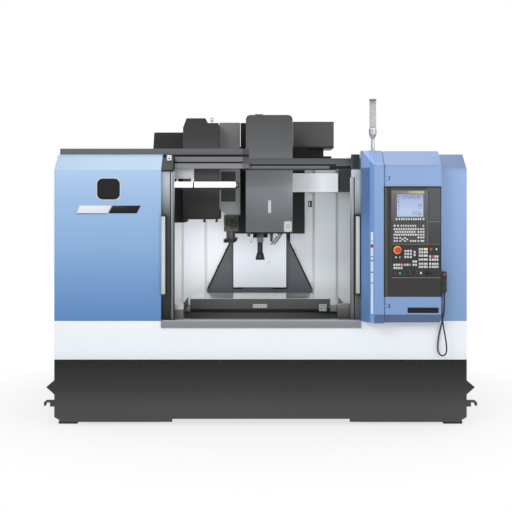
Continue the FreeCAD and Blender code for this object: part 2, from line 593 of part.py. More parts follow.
head_shell = cut(
    prism("XZ", head_outline("0", "cover_low"), "-cover_front", "cover_rear"),
    prism("XZ", head_outline("cover_sheet", "cover_low - 1"),
          "-cover_front + cover_sheet", "cover_rear + 1"),
)
head_lid = box(("-lid_left", "lid_right"),
               ("-cover_front + lid_inset", "-cover_front + lid_inset + lid_long"),
               ("cover_top - 1", "cover_top + lid_tall"))
node("head_cover", join(head_shell, head_lid))
cartridge = turned([
    ("shaft_radius + gap", "casting_low"), ("nose_radius", "casting_low"),
    ("nose_radius", "cover_low - nose_drop"),
    ("nose_tip_radius", "cover_low - nose_drop - nose_step"),
    ("nose_tip_radius", "nose_low"), ("shaft_radius + gap", "nose_low"),
], 0, "-work_y")
air_jet = box(("-jet_left", "-jet_right"), ("-jet_front", "-jet_rear"), ("jet_low", "casting_low"))
nozzles = []
for name in ("nozzle", "far_nozzle"):
    spot = (f"{name}_x", f"-{name}_y")
    nozzles += [rod("Z", spot, "nozzle_radius", f"{name}_low", "casting_low"),
                rod("Z", spot, "collar_radius", "collar_low", "casting_low")]
node("spindle_nose", join(cartridge, air_jet, *nozzles))


def drive_key(side):
    x = f"{side} * key_x"
    return box((f"{x} - key_wide / 2", f"{x} + key_wide / 2"),
               ("-work_y - key_long / 2", "-work_y + key_long / 2"),
               ("flange_top + key_gap", "nose_low"))


node("spindle_shaft", join(rod("Z", (0, "-work_y"), "shaft_radius", "nose_low", "casting_low"),
                           *both(drive_key)))
flange_low = "(flange_top - flange_tall)"
groove_mid = "(flange_top - flange_tall / 2)"
groove_radius = "(flange_radius - groove_deep)"
flare_radius = "(shank_radius + shank_flare)"
node("tool_holder", turned([
    ("0", "nose_low"), ("taper_radius", "nose_low"), ("taper_radius", "flange_top"),
    ("flange_radius", "flange_top"), ("flange_radius", f"{groove_mid} + groove_tall"),
    (groove_radius, f"{groove_mid} + groove_tall / 3"),
    (groove_radius, f"{groove_mid} - groove_tall / 3"),
    ("flange_radius", f"{groove_mid} - groove_tall"), ("flange_radius", flange_low),
    ("shank_radius", f"{flange_low} - groove_tall / 2"),
    ("shank_radius", "shank_low + flare_tall + flare_slope"),
    (flare_radius, "shank_low + flare_tall"), (flare_radius, "shank_low"), ("0", "shank_low"),
], 0, "-work_y"))


def face_mill():
    """The cutter: a turned body with chip pockets repeated round it."""
    body = turned([
        ("0", "mill_low + mill_dish"), ("mill_radius - mill_rim", "mill_low + mill_dish"),
        ("mill_radius - 2 * mill_dish", "mill_low"), ("mill_radius", "mill_low"),
        ("mill_radius", "mill_low + mill_rim"), (flare_radius, "shank_low"), ("0", "shank_low"),
    ], 0, "-work_y")
    doc.recompute()
    whole = body.Shape.Volume
    sketch = sketch_on(body, "XY", [
        ("mill_radius - tooth_deep", "0"), ("mill_radius + 2", "0"),
        ("mill_radius + 2", "tooth_wide"), ("mill_radius - tooth_deep / 2", "tooth_wide"),
    ], "Gullet")
    sketch.setExpression("AttachmentOffset.Base.z", cells("mill_low - 1"))
    doc.recompute()
    gullet = body.newObject("PartDesign::Pocket", "Gullets")
    gullet.Profile = sketch
    gullet.Reversed = True
    bind(gullet, Length="shank_low - mill_low - tooth_wide")
    doc.recompute()
    ring = body.newObject("PartDesign::PolarPattern", "Teeth")
    ring.Originals = [gullet]
    ring.Axis = (origin_part(body, "Z_Axis"), [""])
    ring.Angle = 360
    bind(ring, Occurrences="mill_teeth")
    body.Tip = ring
    doc.recompute()
    if body.Shape.Volume > 0.98 * whole:
        raise ValueError("the chip pockets of the face mill took too little away")
    return body


node("face_mill", face_mill())

# ---------------------------------------------------------------- tool changer
arm_low, arm_high = flange_low, "flange_top"


def jaw_end(side):
    """The hooked end of the arm: its disc, and the hole and mouth that are cut from it."""
    y = f"-work_y + {side} * arm_x"
    height = (f"{arm_low} - 1", f"{arm_high} + 1")
    disc = rod("Z", ("-arm_x", y), "arm_end", arm_low, arm_high)
    hole = rod("Z", ("-arm_x", y), "jaw_radius", *height)
    mouth = box(span("-arm_x", f"-arm_x - {side} * (arm_end + 2)"),
                span(f"{y} + {side} * jaw_radius", f"{y} - {side} * (jaw_radius + jaw_slack)"),
                height)
    return disc, [hole, mouth]


arm_bar = box(("-arm_x - arm_wide / 2", "-arm_x + arm_wide / 2"),
              ("-work_y - arm_x", "-work_y + arm_x"), (arm_low, arm_high))
arm_hub = rod("Z", ("-arm_x", "-work_y"), "arm_end", arm_low, arm_high)
ends = both(jaw_end)
node("changer_arm", cut(join(arm_bar, arm_hub, *[disc for disc, _ in ends]),
                        *[tool for _, tools in ends for tool in tools]))
node("changer_ram", rod("Z", ("-arm_x", "-work_y"), "ram_radius", "flange_top + gap",
                        "ram_top"))
gear_box = prism("XZ", [
    ("-mag_right", "box_low + box_slope"), ("-mag_right + box_slope", "box_low"),
    ("-box_right", "box_low"), ("-box_right", "box_top"), ("-mag_right", "box_top"),
], "-work_y - box_half", "-work_y + box_half")
ram_hood = box(("-hood_left", "-hood_right"), ("-work_y - hood_half", "-work_y + hood_half"),
               ("hood_low", "box_low + 1"))
ram_bore = rod("Z", ("-arm_x", "-work_y"), "ram_radius + gap", "hood_low - 1", "ram_top + 2")
pane_recess = box(("-pane_left", "-pane_right"),
                  ("-work_y - box_half - 1", "-work_y - box_half + pane_deep"),
                  ("pane_low", "pane_high"))
node("changer_gearbox", cut(join(gear_box, ram_hood), ram_bore, pane_recess))


def magazine_outline(inset):
    left, right = f"(-mag_left + {inset})", f"(-mag_right - {inset})"
    low, top = f"(mag_low + {inset})", f"(mag_top - {inset})"
    return [(left, low), (right, low), (right, f"{top} - mag_slope"),
            (f"{right} - mag_step", f"{top} - mag_slope"),
            (f"{right} - mag_step - mag_step_run", top), (f"{left} + mag_lean", top),
            (left, f"{top} - mag_slope * 2")]


magazine_box = join(
    prism("XZ", magazine_outline("0"), "-mag_front", "mag_rear"),
    box(("-tail_left", "-mag_left + 1"), ("-tail_front", "0"), ("tail_low", "tail_top")),
)
magazine_room = prism("XZ", magazine_outline("mag_sheet"),
                      "-mag_front + mag_sheet", "mag_rear - mag_sheet")
tail_depth = ("-tail_front + mag_sheet", "-mag_sheet")
tail_room = box(("-tail_left + mag_sheet", "-mag_left"), tail_depth,
                ("tail_low + mag_sheet", "tail_top - mag_sheet"))
tail_mouth = box(("-mag_left - 1", "-mag_left + mag_sheet + 1"), tail_depth,
                 ("mag_low + mag_sheet", "tail_top - mag_sheet"))
tool_slot = box(("-mag_left + tool_slot_edge", "-disc_left + tool_slot_edge"),
                ("-work_y - tool_slot_half", "-work_y + tool_slot_half"),
                ("mag_low - 1", "mag_low + mag_sheet + 1"))
magazine_bracket = box(("-bracket_left", "-mag_right"), ("mag_rear - 1", "column_face"),
                       ("bracket_low", "bracket_high"))
node("magazine_cover", join(
    cut(magazine_box, magazine_room, tail_room, tail_mouth, tool_slot), magazine_bracket))
disc_right = "-disc_left + disc_thick"
pot_turns = [f"{n} * 360 deg / pots" for n in range(SIZES["pots"])]
node("magazine_disc", join(
    rod("X", ("-work_y", "disc_z"), "disc_radius", "-disc_left", disc_right),
    rod("X", ("-work_y", "disc_z"), "ram_radius", disc_right, "-mag_right - mag_sheet - gap"),
    *[rod("X", (f"-work_y + pot_ring * cos({turn})", f"disc_z + pot_ring * sin({turn})"),
          "pot_radius", "-disc_left - pot_long", "-disc_left + 1") for turn in pot_turns],
))

# ---------------------------------------------------------------- side covers and door frame
CHAMFER = f"{FRONT} + chamfer_back"
ROOF_LOW = "(cabin_top - panel)"


def side_cover(inner, side):
    """A blue cover: front wall, sloped brow, roof and outer wall, open to the work space."""
    outer = f"{side} * wide / 2"
    shell = prism("YZ", [
        (FRONT, "band_top"), (FRONT, "chamfer_low"), (CHAMFER, "cabin_top"),
        ("rear_reach", "cabin_top"), ("rear_reach", "band_top"),
    ], *span(outer, inner))
    room = prism("YZ", [
        (f"{FRONT} + panel", "band_top - 1"), (f"{FRONT} + panel", "chamfer_low - panel / 2"),
        (f"{CHAMFER} + panel / 2", ROOF_LOW), ("rear_reach + 1", ROOF_LOW),
        ("rear_reach + 1", "band_top - 1"),
    ], *span(f"{outer} - {side} * panel", f"{inner} - {side}"))
    return join(cut(shell, room),
                rear_wall(side, "column_wide", "band_top", "cabin_top - panel / 2"))


node("left_cover", side_cover("-door_left", -1))
node("right_cover", side_cover("pillar_right", 1))

threshold = join(
    box((f"{LEFT} + 2 * panel", f"{RIGHT} - 2 * panel"),
        (f"{FRONT} + panel", f"{FRONT} + sill_long"), ("band_top - sill_tall", "band_top")),
    prism("YZ", [
        (f"{FRONT} - sill_lip", "band_top - sill_tall"), (FRONT, "band_top - sill_tall"),
        (FRONT, "band_top"), (f"{FRONT} + panel", "band_top"),
        (f"{FRONT} + panel", "band_top + sill_rise"),
        (f"{FRONT} - sill_lip", "band_top + sill_rise"),
    ], "-door_left", "door_right"),
)
beam = cut(
    box((f"-{inner_half}", inner_half), ("-beam_front", "-beam_rear"), ("beam_low", ROOF_LOW)),
    box(("-lip_left", "lip_right"), ("-beam_front - 1", "-beam_front + lip_deep"),
        ("groove_low", "groove_high")),
)
beam_lip = box(("-lip_left", "lip_right"), ("-beam_front + lip_inset", "-beam_front + lip_deep"),
               ("lip_low", "beam_low + 1"))
left_rail = box(("-door_back", "-left_rail_end"), ("-beam_front - rail_deep", "-beam_front"),
                ("beam_low", "beam_low + rail_tall"))
right_rail = box(("-right_rail_end", "door_back"), ("-beam_rear", "-beam_rear + rail_deep"),
                 ("beam_low", "beam_low + rail_tall"))
roof_band = box(("-band_left", "-band_right"), (CHAMFER, f"{CHAMFER} + band_deep"),
                ("cabin_top", "cabin_top + band_tall"))
band_web = box(("-door_left + 1", "-band_right"),
               (f"{CHAMFER} + band_inset", f"{CHAMFER} + band_deep"), (ROOF_LOW, "cabin_top"))
brow_rise = "(cabin_top - chamfer_low) / chamfer_back"
cap_tops = [(f"-{y}", f"chamfer_low - cap_drop + (front_reach - {y}) * {brow_rise}")
            for y in ("cap_rear", "cap_front")]
corner_cap = prism("YZ", [("-cap_front", "cap_low"), ("-cap_rear", "cap_low"), *cap_tops],
                   "-door_left + 1", "-cap_right")
cap_root = box(("-door_left + 1", "-cap_right"), ("-cap_rear - 1", "-beam_front"),
               ("beam_low + rail_tall", ROOF_LOW))
right_post = box(("post_left", "post_right"), ("-post_front", "-beam_front"),
                 ("post_low", "cabin_top - post_drop"))
node("door_frame", join(threshold, beam, beam_lip, left_rail, right_rail, roof_band, band_web,
                        corner_cap, cap_root, right_post))


# ---------------------------------------------------------------- doors
def door(name, side):
    """A sliding door with its glass and handle; what holds the handle is handed back."""
    lead, back_edge = f"{side} * {name}_door_edge", f"{side} * door_back"
    front = f"-{name}_door_plane"
    back = f"({front} + door_thick)"
    height = ("door_low", f"{name}_door_top")
    pane_x = span(f"{lead} + {side} * stile", f"{back_edge} - {side} * stile")
    frame = box(span(lead, back_edge), (front, back), height)
    opening = box(pane_x, (f"{front} - 1", f"{back} + 1"), ("window_low", "window_top"))
    edge_seal = box(span(lead, f"{lead} - {side} * seal"),
                    (f"{front} + seal_inset", f"{back} - seal_inset"), height)
    node(f"{name}_door", join(cut(frame, opening), edge_seal))
    node(f"{name}_door_window", box(
        pane_x, (f"{front} + glass_inset", f"{front} + glass_inset + glass"),
        ("window_low", "window_top")))
    middle = f"({lead} + {side} * handle_{name})"
    low_edge, high_edge = f"{middle} - handle_wide / 2", f"{middle} + handle_wide / 2"
    stand = f"({front} - handle_stand)"
    node(f"{name}_door_handle", box((low_edge, high_edge), (f"{stand} - handle_thick", stand),
                                    ("handle_low", "handle_top")))
    posts = [box((f"{low_edge} + handle_inset", f"{high_edge} - handle_inset"), (stand, front),
                 (low, f"{low} + handle_mount"))
             for low in ("handle_low", "handle_top - handle_mount")]
    half = "backing_wide / 2"
    depth = (f"{front} - backing_thick", front)
    centres = (f"handle_low + {half}", f"handle_top - {half}")
    backing = box((f"{middle} - {half}", f"{middle} + {half}"), depth, centres)
    return [*posts, backing, *[rod("Y", (middle, z), half, *depth) for z in centres]]


def hangers(name, side, rail_front, drop):
    """Two brackets that carry a door from carriages under its rail."""
    pieces = []
    top = f"({name}_door_top - {drop})"
    rail_back = f"{rail_front} + rail_deep"
    for start in (f"{side} * ({name}_door_edge + hanger_inset)",
                  f"{side} * (door_back - hanger_wide)"):
        x = span(start, f"{start} + {side} * hanger_wide")
        arm = box(x, (f"-{name}_door_plane + door_thick", rail_back),
                  (f"{top} - hanger_thick", top))
        carriage = box(x, (rail_front, rail_back), (f"{top} - 1", "beam_low - gap"))
        pieces += [arm, carriage]
    return pieces


node("left_door_fittings", join(
    *door("left", -1), *hangers("left", -1, "-beam_front - rail_deep", 0)))
node("right_door_fittings", join(
    *door("right", 1), *hangers("right", 1, "-beam_rear", "right_hanger_drop")))

# ---------------------------------------------------------------- operator pillar and console
front_plate = "-pillar_front"
pillar_plan = prism("XY", [
    ("pillar_left", "-pillar_rear"), ("pillar_left", FRONT),
    ("pillar_facet_x", "-pillar_facet_y"), ("pillar_front_x", front_plate),
    ("pillar_right", front_plate), ("pillar_right", "-pillar_rear"),
], "console_foot", "pillar_top")
pillar_side = prism("YZ", [
    (front_plate, "console_foot"), (front_plate, "pillar_crease"),
    (f"{front_plate} + pillar_slope", "pillar_top"), ("-pillar_rear", "pillar_top"),
    ("-pillar_rear", "console_foot"),
], "pillar_left", "pillar_right")
pillar = doc.addObject("Part::MultiCommon", "Pillar")
pillar.Shapes = [pillar_plan, pillar_side]
axis_x, axis_y = "(console_left + console_axis)", f"({front_plate} + console_axis)"
hinge_leaves, hinge_slots = [], []
for low in ("hinge_low", "hinge_high"):
    high = f"{low} + hinge_tall"
    hinge_leaves += [
        box(("pillar_right", f"{axis_x} + hinge_half"),
            (f"{axis_y} - hinge_half", f"{axis_y} + hinge_half"), (low, high)),
        rod("Z", (axis_x, axis_y), "hinge_pin", f"{low} - hinge_reach", f"{high} + hinge_reach"),
    ]
    hinge_slots += [
        box(("console_left - 1", f"{axis_x} + hinge_room"),
            (f"{front_plate} - 1", f"{axis_y} + hinge_room"),
            (f"{low} - hinge_clear", f"{high} + hinge_clear")),
        rod("Z", (axis_x, axis_y), "hinge_pin + gap", f"{low} - hinge_reach - 1",
            f"{high} + hinge_reach + 1"),
    ]
node("operator_pillar", join(pillar, *hinge_leaves))

console_top = "(pillar_top - console_drop)"
console_body = prism("YZ", [
    ("-console_rear", "console_foot"), ("-console_rear", console_top),
    (f"{front_plate} + pillar_slope", console_top), (front_plate, "pillar_crease"),
    (front_plate, "console_low"), (f"{front_plate} + console_slope", "console_foot"),
], "console_left", "console_right")
face_x = ("console_left + face_left_rim", "console_right - face_right_rim")
face_back = f"({front_plate} + face_deep)"
face_recess = box(face_x, (f"{front_plate} - 1", face_back), ("face_low", "face_top"))
left_bevel = prism("XY", [
    ("console_left - 1", f"{front_plate} - 1"),
    ("console_left + console_bevel", f"{front_plate} - 1"),
    ("console_left - 1", f"{front_plate} + console_bevel"),
], "console_foot - 1", "pillar_top + 1")
node("console_housing", cut(console_body, face_recess, left_bevel, *hinge_slots))

# the face with its two raised key plates, and a bore for every control
plate_front = f"({front_plate} - plate_proud)"
face = box(face_x, (front_plate, face_back), ("face_low", "face_top"))
key_plate = box(("keys_left", "keys_right"), (plate_front, front_plate), ("keys_low", "keys_top"))
lower_plate = box(("keys_left", "lower_right"), (plate_front, front_plate),
                  ("lower_low", "lower_top"))
BUTTONS = {
    "emergency_stop": ("stop_x", "stop_z", "stop_radius"),
    "start_button": ("start_x", "press_z", "press_radius"),
    "hold_button": ("hold_x", "press_z", "press_radius"),
    "feed_knob": ("feed_x", "dial_z", "dial_radius"),
    "speed_knob": ("speed_x", "dial_z", "dial_radius"),
    "key_switch": ("lock_x", "press_z", "lock_radius"),
}
bores = [rod("Y", (x, z), f"{radius} + bore_slack", f"{plate_front} - 1", f"{face_back} + 1")
         for x, z, radius in BUTTONS.values()]
node("control_face", cut(join(face, key_plate, lower_plate), *bores))
screen_front = f"({front_plate} - screen_proud)"
node("display_unit", cut(
    box(("screen_left", "screen_right"), (screen_front, front_plate),
        ("screen_low", "screen_top")),
    box(("glass_left", "glass_right"), (f"{screen_front} - 1", f"{screen_front} + screen_deep"),
        ("glass_low", "glass_top")),
))
stem_front = f"{plate_front} - button_proud"


def mushroom(x, z, radius):
    """The head of the emergency stop."""
    tip = f"{plate_front} - stop_proud"
    return [rod("Y", (x, z), radius, f"{tip} + stop_tall / 2", f"{stem_front} + 1"),
            rod("Y", (x, z), f"{radius} + stop_rim", tip, f"{tip} + stop_tall")]


def knob_grip(x, z, radius):
    return [box((f"{x} - grip_half", f"{x} + grip_half"),
                (f"{plate_front} - grip_proud", f"{stem_front} + 1"),
                (f"{z} - {radius} + 1", f"{z} + {radius} - 1"))]


def key_blade(x, z, radius):
    return [box((f"{x} - blade_half", f"{x} + blade_half"),
                (f"{plate_front} - blade_proud", f"{stem_front} + 1"),
                (f"{z} - blade_tall / 2", f"{z} + blade_tall / 2"))]


TOPS = {"emergency_stop": mushroom, "feed_knob": knob_grip, "speed_knob": knob_grip,
        "key_switch": key_blade}
for name, (x, z, radius) in BUTTONS.items():
    stem = rod("Y", (x, z), radius, stem_front, f"{face_back} - button_travel - 1")
    node(name, join(stem, *TOPS[name](x, z, radius)) if name in TOPS else stem)

# ---------------------------------------------------------------- pendant and its cord
holder = join(
    box(("console_right", "pendant_right"), ("-pendant_back", "-holder_back"),
        ("holder_low", "holder_top")),
    box(("console_right", "pendant_left"), ("-holder_side", "-holder_back"),
        ("holder_low", "holder_top")),
)
pendant_block = prism("XZ", [
    ("pendant_left + pendant_taper", "pendant_low"),
    ("pendant_right - pendant_taper", "pendant_low"),
    ("pendant_right", "pendant_low + pendant_corner"),
    ("pendant_right", "pendant_top - pendant_corner"),
    ("pendant_right - pendant_chamfer", "pendant_top"),
    ("pendant_left + pendant_chamfer", "pendant_top"),
    ("pendant_left", "pendant_top - pendant_corner"),
    ("pendant_left", "pendant_low + pendant_corner"),
], "-pendant_front", "-pendant_back")
PENDANT = {
    "pendant_stop": ("pendant_stop_x", "pendant_stop_z", "press_radius"),
    "pendant_dial": ("wheel_x", "wheel_z", "wheel_radius"),
    "axis_knob": ("axis_x", "knob_z", "knob_radius"),
    "step_knob": ("step_x", "knob_z", "knob_radius"),
}
pendant_bores = []
for name, (x, z, radius) in PENDANT.items():
    bore = radius if name == "pendant_stop" else "pin_radius"
    pendant_bores.append(rod("Y", (x, z), f"{bore} + bore_slack", "-pendant_front - 1",
                             "-pendant_front + press_bore"))
node("pendant_body", join(
    holder, cut(pendant_block, *pendant_bores),
    rod("Z", ("gland_x", "-gland_y"), "gland_radius", "gland_low", "pendant_low"),
    rod("Z", ("return_x", "-return_y"), "gland_radius", "return_low", "pendant_low"),
))
for name, (x, z, radius) in PENDANT.items():
    if name == "pendant_stop":
        node(name, rod("Y", (x, z), radius, "-pendant_front - press_proud",
                       "-pendant_front + press_deep"))
    else:
        node(name, join(
            rod("Y", (x, z), radius, "-pendant_front - knob_proud", "-pendant_front - gap"),
            rod("Y", (x, z), "pin_radius", "-pendant_front - 1", "-pendant_front + pin_deep"),
        ))

CORD_ROUTE = [
    (1436, -1151, 990), (1439, -1158, 905), (1447, -1168, 812), (1462, -1177, 722),
    (1472, -1181, 655), (1473, -1180, 590), (1456, -1161, 565), (1432, -1134, 563),
    (1416, -1116, 590), (1415, -1114, 650), (1426, -1117, 735), (1444, -1123, 812),
    (1460, -1130, 890), (1465, -1135, 978),
]
BEND_SHARE = 0.45


def cord(route, radius):
    """A tube along straight runs joined by tangent arcs, as large as the runs allow."""
    edges = []
    start = route[0]
    for before, corner, after in zip(route, route[1:], route[2:]):
        back, on = before - corner, after - corner
        half = (math.pi - back.getAngle(on)) / 2
        reach = BEND_SHARE * min(back.Length, on.Length)
        bend = reach / math.tan(half)
        back.normalize()
        on.normalize()
        first, last = corner + back * reach, corner + on * reach
        inward = (back + on).normalize()
        depth = bend / math.cos(half) - bend
        edges.append(Part.LineSegment(start, first).toShape())
        edges.append(Part.Arc(first, corner + inward * depth, last).toShape())
        start = last
    edges.append(Part.LineSegment(start, route[-1]).toShape())
    path = Part.Wire(edges)
    ring = Part.Circle(route[0], route[1] - route[0], radius).toShape()
    tube = path.makePipe(Part.Face(Part.Wire(ring)))
    share = tube.Volume / (math.pi * radius ** 2 * path.Length)
    print("cord length", round(path.Length), "volume share", round(share, 5))
    return tube


gland = Vector(value("gland_x"), value("-gland_y"), value("gland_low"))
return_gland = Vector(value("return_x"), value("-return_y"), value("return_low"))
pendant_cord = doc.addObject("Part::Feature", "Cord")
pendant_cord.Shape = cord([gland, *[Vector(*p) for p in CORD_ROUTE], return_gland],
                          value("cord_radius"))
node("pendant_cord", pendant_cord)

# ---------------------------------------------------------------- signal lamp
cup_low = "(pillar_top + post_tall)"
lamp_low = f"({cup_low} + cup_tall)"
node("lamp_post", turned([
    ("0", "pillar_top"), ("post_foot", "pillar_top"), ("post_foot", "pillar_top + post_foot_tall"),
    ("post_radius", "pillar_top + post_taper"), ("post_radius", cup_low),
    ("cup_middle", f"{cup_low} + cup_rise"), ("cup_radius", lamp_low), ("0", lamp_low),
], "lamp_x", "-lamp_y"))
node("signal_lamp", turned([
    ("0", lamp_low), ("lamp_radius", lamp_low), ("lamp_radius", f"{lamp_low} + lamp_edge"),
    ("lamp_crown", f"{lamp_low} + lamp_dome"), ("0", f"{lamp_low} + lamp_tall"),
], "lamp_x", "-lamp_y"))

# ---------------------------------------------------------------- fittings of the cabin
tube = rod("X", ("-tube_y", "tube_z"), "tube_radius", "-tube_left", "-tube_right")
tube_plate = box(("-tube_plate_left", "-tube_plate_right"),
                 ("-tube_plate_front", "-tube_plate_front + tube_plate_thick"),
                 ("tube_plate_low", "beam_low"))
clips = [box((f"-{x}", f"-{x} + clip_wide"), ("-clip_front", "-clip_rear"),
             ("clip_low", "clip_top")) for x in ("clip_left", "clip_right")]
node("work_light", join(tube, tube_plate, *clips))

roof_box_top = "cabin_top + roof_box_tall"
roof_box = prism("XZ", [
    ("-roof_box_left", "cabin_top"), ("-roof_box_right", "cabin_top"),
    ("-roof_box_right", roof_box_top), ("-roof_box_left + roof_box_lean", roof_box_top),
], "-roof_box_front", "0")
tower = box(("-mag_right", "-tower_right"), ("-tower_front", "-tower_rear"),
            ("box_top", "box_top + tower_tall"))
neck_low = "(column_top - neck_drop)"
crate = join(
    box(("crate_left", "crate_right"), ("crate_front", "crate_rear"),
        ("column_top", "column_top + crate_tall")),
    box(("column_wide / 2", "neck_right"), ("neck_front", "neck_rear"),
        (neck_low, "column_top + 1")),
    box(("neck_right - 1", "neck_foot"), ("neck_front", "neck_rear"),
        (neck_low, f"{neck_low} + neck_foot_tall")),
)
tray = join(
    box(("tray_left", "tray_right"), ("tray_front", "tray_front + tray_thick"),
        ("tray_low", "tray_top")),
    box(("tray_body_left", "tray_body_right"), ("tray_front", fold_face),
        ("tray_low", "tray_top")),
    box(("tray_left", "ledge_right"), ("tray_front - ledge_deep", "tray_front + 1"),
        ("ledge_low", "ledge_top")),
)
side_box = box(("side_box_left", "side_box_right"), ("side_box_front", guard_face),
               ("side_box_low", "guard_top"))
node("auxiliary_boxes", join(roof_box, tower, crate, tray, side_box))

# ---------------------------------------------------------------- electrical cabinet
cabinet_left = "(bed_wide / 2 + cabinet_gap)"
hinge_x = "(cabinet_right - cabinet_rim)"
door_rear = "(frame_rear + cabinet_door_thick)"
panel_left = f"({cabinet_left} + cabinet_rim)"
cabinet_panel = box((panel_left, hinge_x), ("frame_rear + gap", door_rear),
                    ("cabinet_door_low", "cabinet_door_top"))
notches, knuckles = [], []
for low in ("knuckle_low", "knuckle_high"):
    high = f"{low} + knuckle_tall"
    notches.append(box((f"{hinge_x} - knuckle_room", f"{hinge_x} + 1"),
                       ("frame_rear - 1", f"{door_rear} + 1"), (f"{low} - 1", f"{high} + 1")))
    knuckles += [rod("Z", (hinge_x, door_rear), "knuckle_radius", low, high),
                 box((hinge_x, f"{hinge_x} + knuckle_radius"), ("frame_rear - 1", door_rear),
                     (low, high))]
latch_x = f"({panel_left} + latch_inset)"
latch = box((latch_x, f"{latch_x} + latch_wide"), (door_rear, f"{door_rear} + latch_deep"),
            ("latch_low", "latch_top"))
main_switch = rod("Y", (f"{panel_left} + switch_inset", "switch_z"), "switch_radius", f"{door_rear} - 1",
                  f"{door_rear} + switch_deep")
node("cabinet_door", join(cut(cabinet_panel, *notches), latch, main_switch))
node("electrical_cabinet", join(
    box((cabinet_left, "cabinet_right"), ("rear_reach", "frame_rear"),
        ("frame_top", "cabinet_top")),
    *knuckles,
))

# ---------------------------------------------------------------- checks and files
doc.recompute()
for thing in doc.Objects:
    if "Invalid" in thing.State or "Error" in thing.State:
        raise ValueError(f"{thing.Name} {thing.Label} {thing.State}")
for thing in nodes:
    if thing.Shape.isNull() or not thing.Shape.isValid():
        raise ValueError(f"{thing.Label} has no valid shape")
os.makedirs("parts", exist_ok=True)
for thing in nodes:
    thing.Shape.exportStep(f"parts/{thing.Label}.step")
print(len(nodes), "nodes", len(SIZES), "sizes")
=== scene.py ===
import math

import bmesh
import bpy
from mathutils import Matrix, Vector


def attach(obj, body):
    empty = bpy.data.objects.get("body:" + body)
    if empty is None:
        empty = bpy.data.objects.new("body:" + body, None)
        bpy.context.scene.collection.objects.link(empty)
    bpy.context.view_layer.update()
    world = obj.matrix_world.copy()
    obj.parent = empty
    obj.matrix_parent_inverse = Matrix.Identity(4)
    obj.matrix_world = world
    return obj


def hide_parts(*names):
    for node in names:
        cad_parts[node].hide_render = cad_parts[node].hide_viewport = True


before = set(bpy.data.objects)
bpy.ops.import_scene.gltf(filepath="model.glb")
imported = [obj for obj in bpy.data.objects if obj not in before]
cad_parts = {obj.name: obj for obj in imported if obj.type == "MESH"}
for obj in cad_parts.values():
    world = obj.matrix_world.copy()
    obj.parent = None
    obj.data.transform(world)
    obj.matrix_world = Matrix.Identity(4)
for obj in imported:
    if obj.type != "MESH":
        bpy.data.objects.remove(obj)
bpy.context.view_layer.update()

# ------------------------------------------------------------------ studio
# A level camera at eye height in front of the door, and a pale floor that runs into a white
# backdrop. Large soft lamps stand outside the view, and four small ones light the work space.
EYE = (-0.036, -8.70, 1.745)
LENS = 66.8
PICTURE_SIDE = 512
HORIZON_ABOVE_MIDDLE = 49
SHARP_TURN = 0.6
view = bpy.data.cameras.new("camera")
view.lens = LENS
view.sensor_width = 36
view.shift_y = -HORIZON_ABOVE_MIDDLE / PICTURE_SIDE
view.clip_end = 100
camera = bpy.data.objects.new("camera", view)
camera.location = EYE
camera.rotation_euler = (math.radians(90), 0, 0)
bpy.context.collection.objects.link(camera)
bpy.context.scene.camera = camera
bpy.context.scene.view_settings.view_transform = "Standard"

# Shapes are laid on this mesh one after the other, until they become a piece and clear it.
bench = bmesh.new()


def object_from_bench(name):
    """Turns what lies on the bench into an object at the origin, round faces shaded smooth."""
    for edge in bench.edges:
        edge.smooth = len(edge.link_faces) == 2 and edge.calc_face_angle() < SHARP_TURN
    for face in bench.faces:
        face.smooth = True
    mesh = bpy.data.meshes.new(name)
    bench.to_mesh(mesh)
    bench.clear()
    thing = bpy.data.objects.new(name, mesh)
    bpy.context.collection.objects.link(thing)
    return thing


def operator(operation, swapped=False):
    """Makes one of Python's operators add its Math node, with the two sides swapped or not."""
    if swapped:
        return lambda self, other: self.math(operation, other, self)
    return lambda self, other: self.math(operation, self, other)


class Socket:
    """A shader socket that takes + - * and comparisons."""

    def __init__(self, tree, link):
        self.tree = tree
        self.link = link

    def node(self, kind, settings=None, output=0, **values):
        """A new node. Its inputs are given by name, or by number as i0, i1 and so on."""
        made = self.tree.nodes.new(kind)
        for key, setting in (settings or {}).items():
            if key != "stops":
                setattr(made, key, setting)
                continue
            made.color_ramp.elements[0].color = setting[0][1]
            made.color_ramp.elements[1].color = setting[-1][1]
            for place, colour in setting[1:-1]:
                made.color_ramp.elements.new(place).color = colour
        for key, given in values.items():
            place = made.inputs[int(key[1:]) if key[1:].isdigit() else key.replace("_", " ")]
            if isinstance(given, Socket):
                self.tree.links.new(given.link, place)
            else:
                place.default_value = given
        return Socket(self.tree, made.outputs[output])

    def math(self, operation, *numbers):
        values = {f"i{n}": number for n, number in enumerate(numbers)}
        return self.node("ShaderNodeMath", {"operation": operation}, **values)

    __add__ = operator("ADD")
    __radd__ = operator("ADD", swapped=True)
    __sub__ = operator("SUBTRACT")
    __rsub__ = operator("SUBTRACT", swapped=True)
    __mul__ = operator("MULTIPLY")
    __rmul__ = operator("MULTIPLY", swapped=True)
    __gt__ = operator("GREATER_THAN")
    __lt__ = operator("LESS_THAN")

    def mix(self, first, second):
        """Colour first where this is 0 and second where it is 1."""
        return self.node("ShaderNodeMix", {"data_type": "RGBA"}, output=2,
                         i0=self, i6=first, i7=second)

    def clamp(self):
        return self.node("ShaderNodeClamp", i0=self)

    def along(self, axis):
        return self.node("ShaderNodeSeparateXYZ", output="XYZ".index(axis), Vector=self)

    def within(self, low, high):
        """1 between two places and 0 outside them."""
        return (self > low) * (self < high)

    def ramp(self, stops):
        """Colours at growing places along this value, blended between them."""
        places = sorted(stops)
        low, spread = places[0], (places[-1] - places[0]) or 1
        marks = [((place - low) / spread, linear(*stops[place])) for place in places]
        return self.node("ShaderNodeValToRGB", {"stops": marks}, i0=(self - low) * (1 / spread))


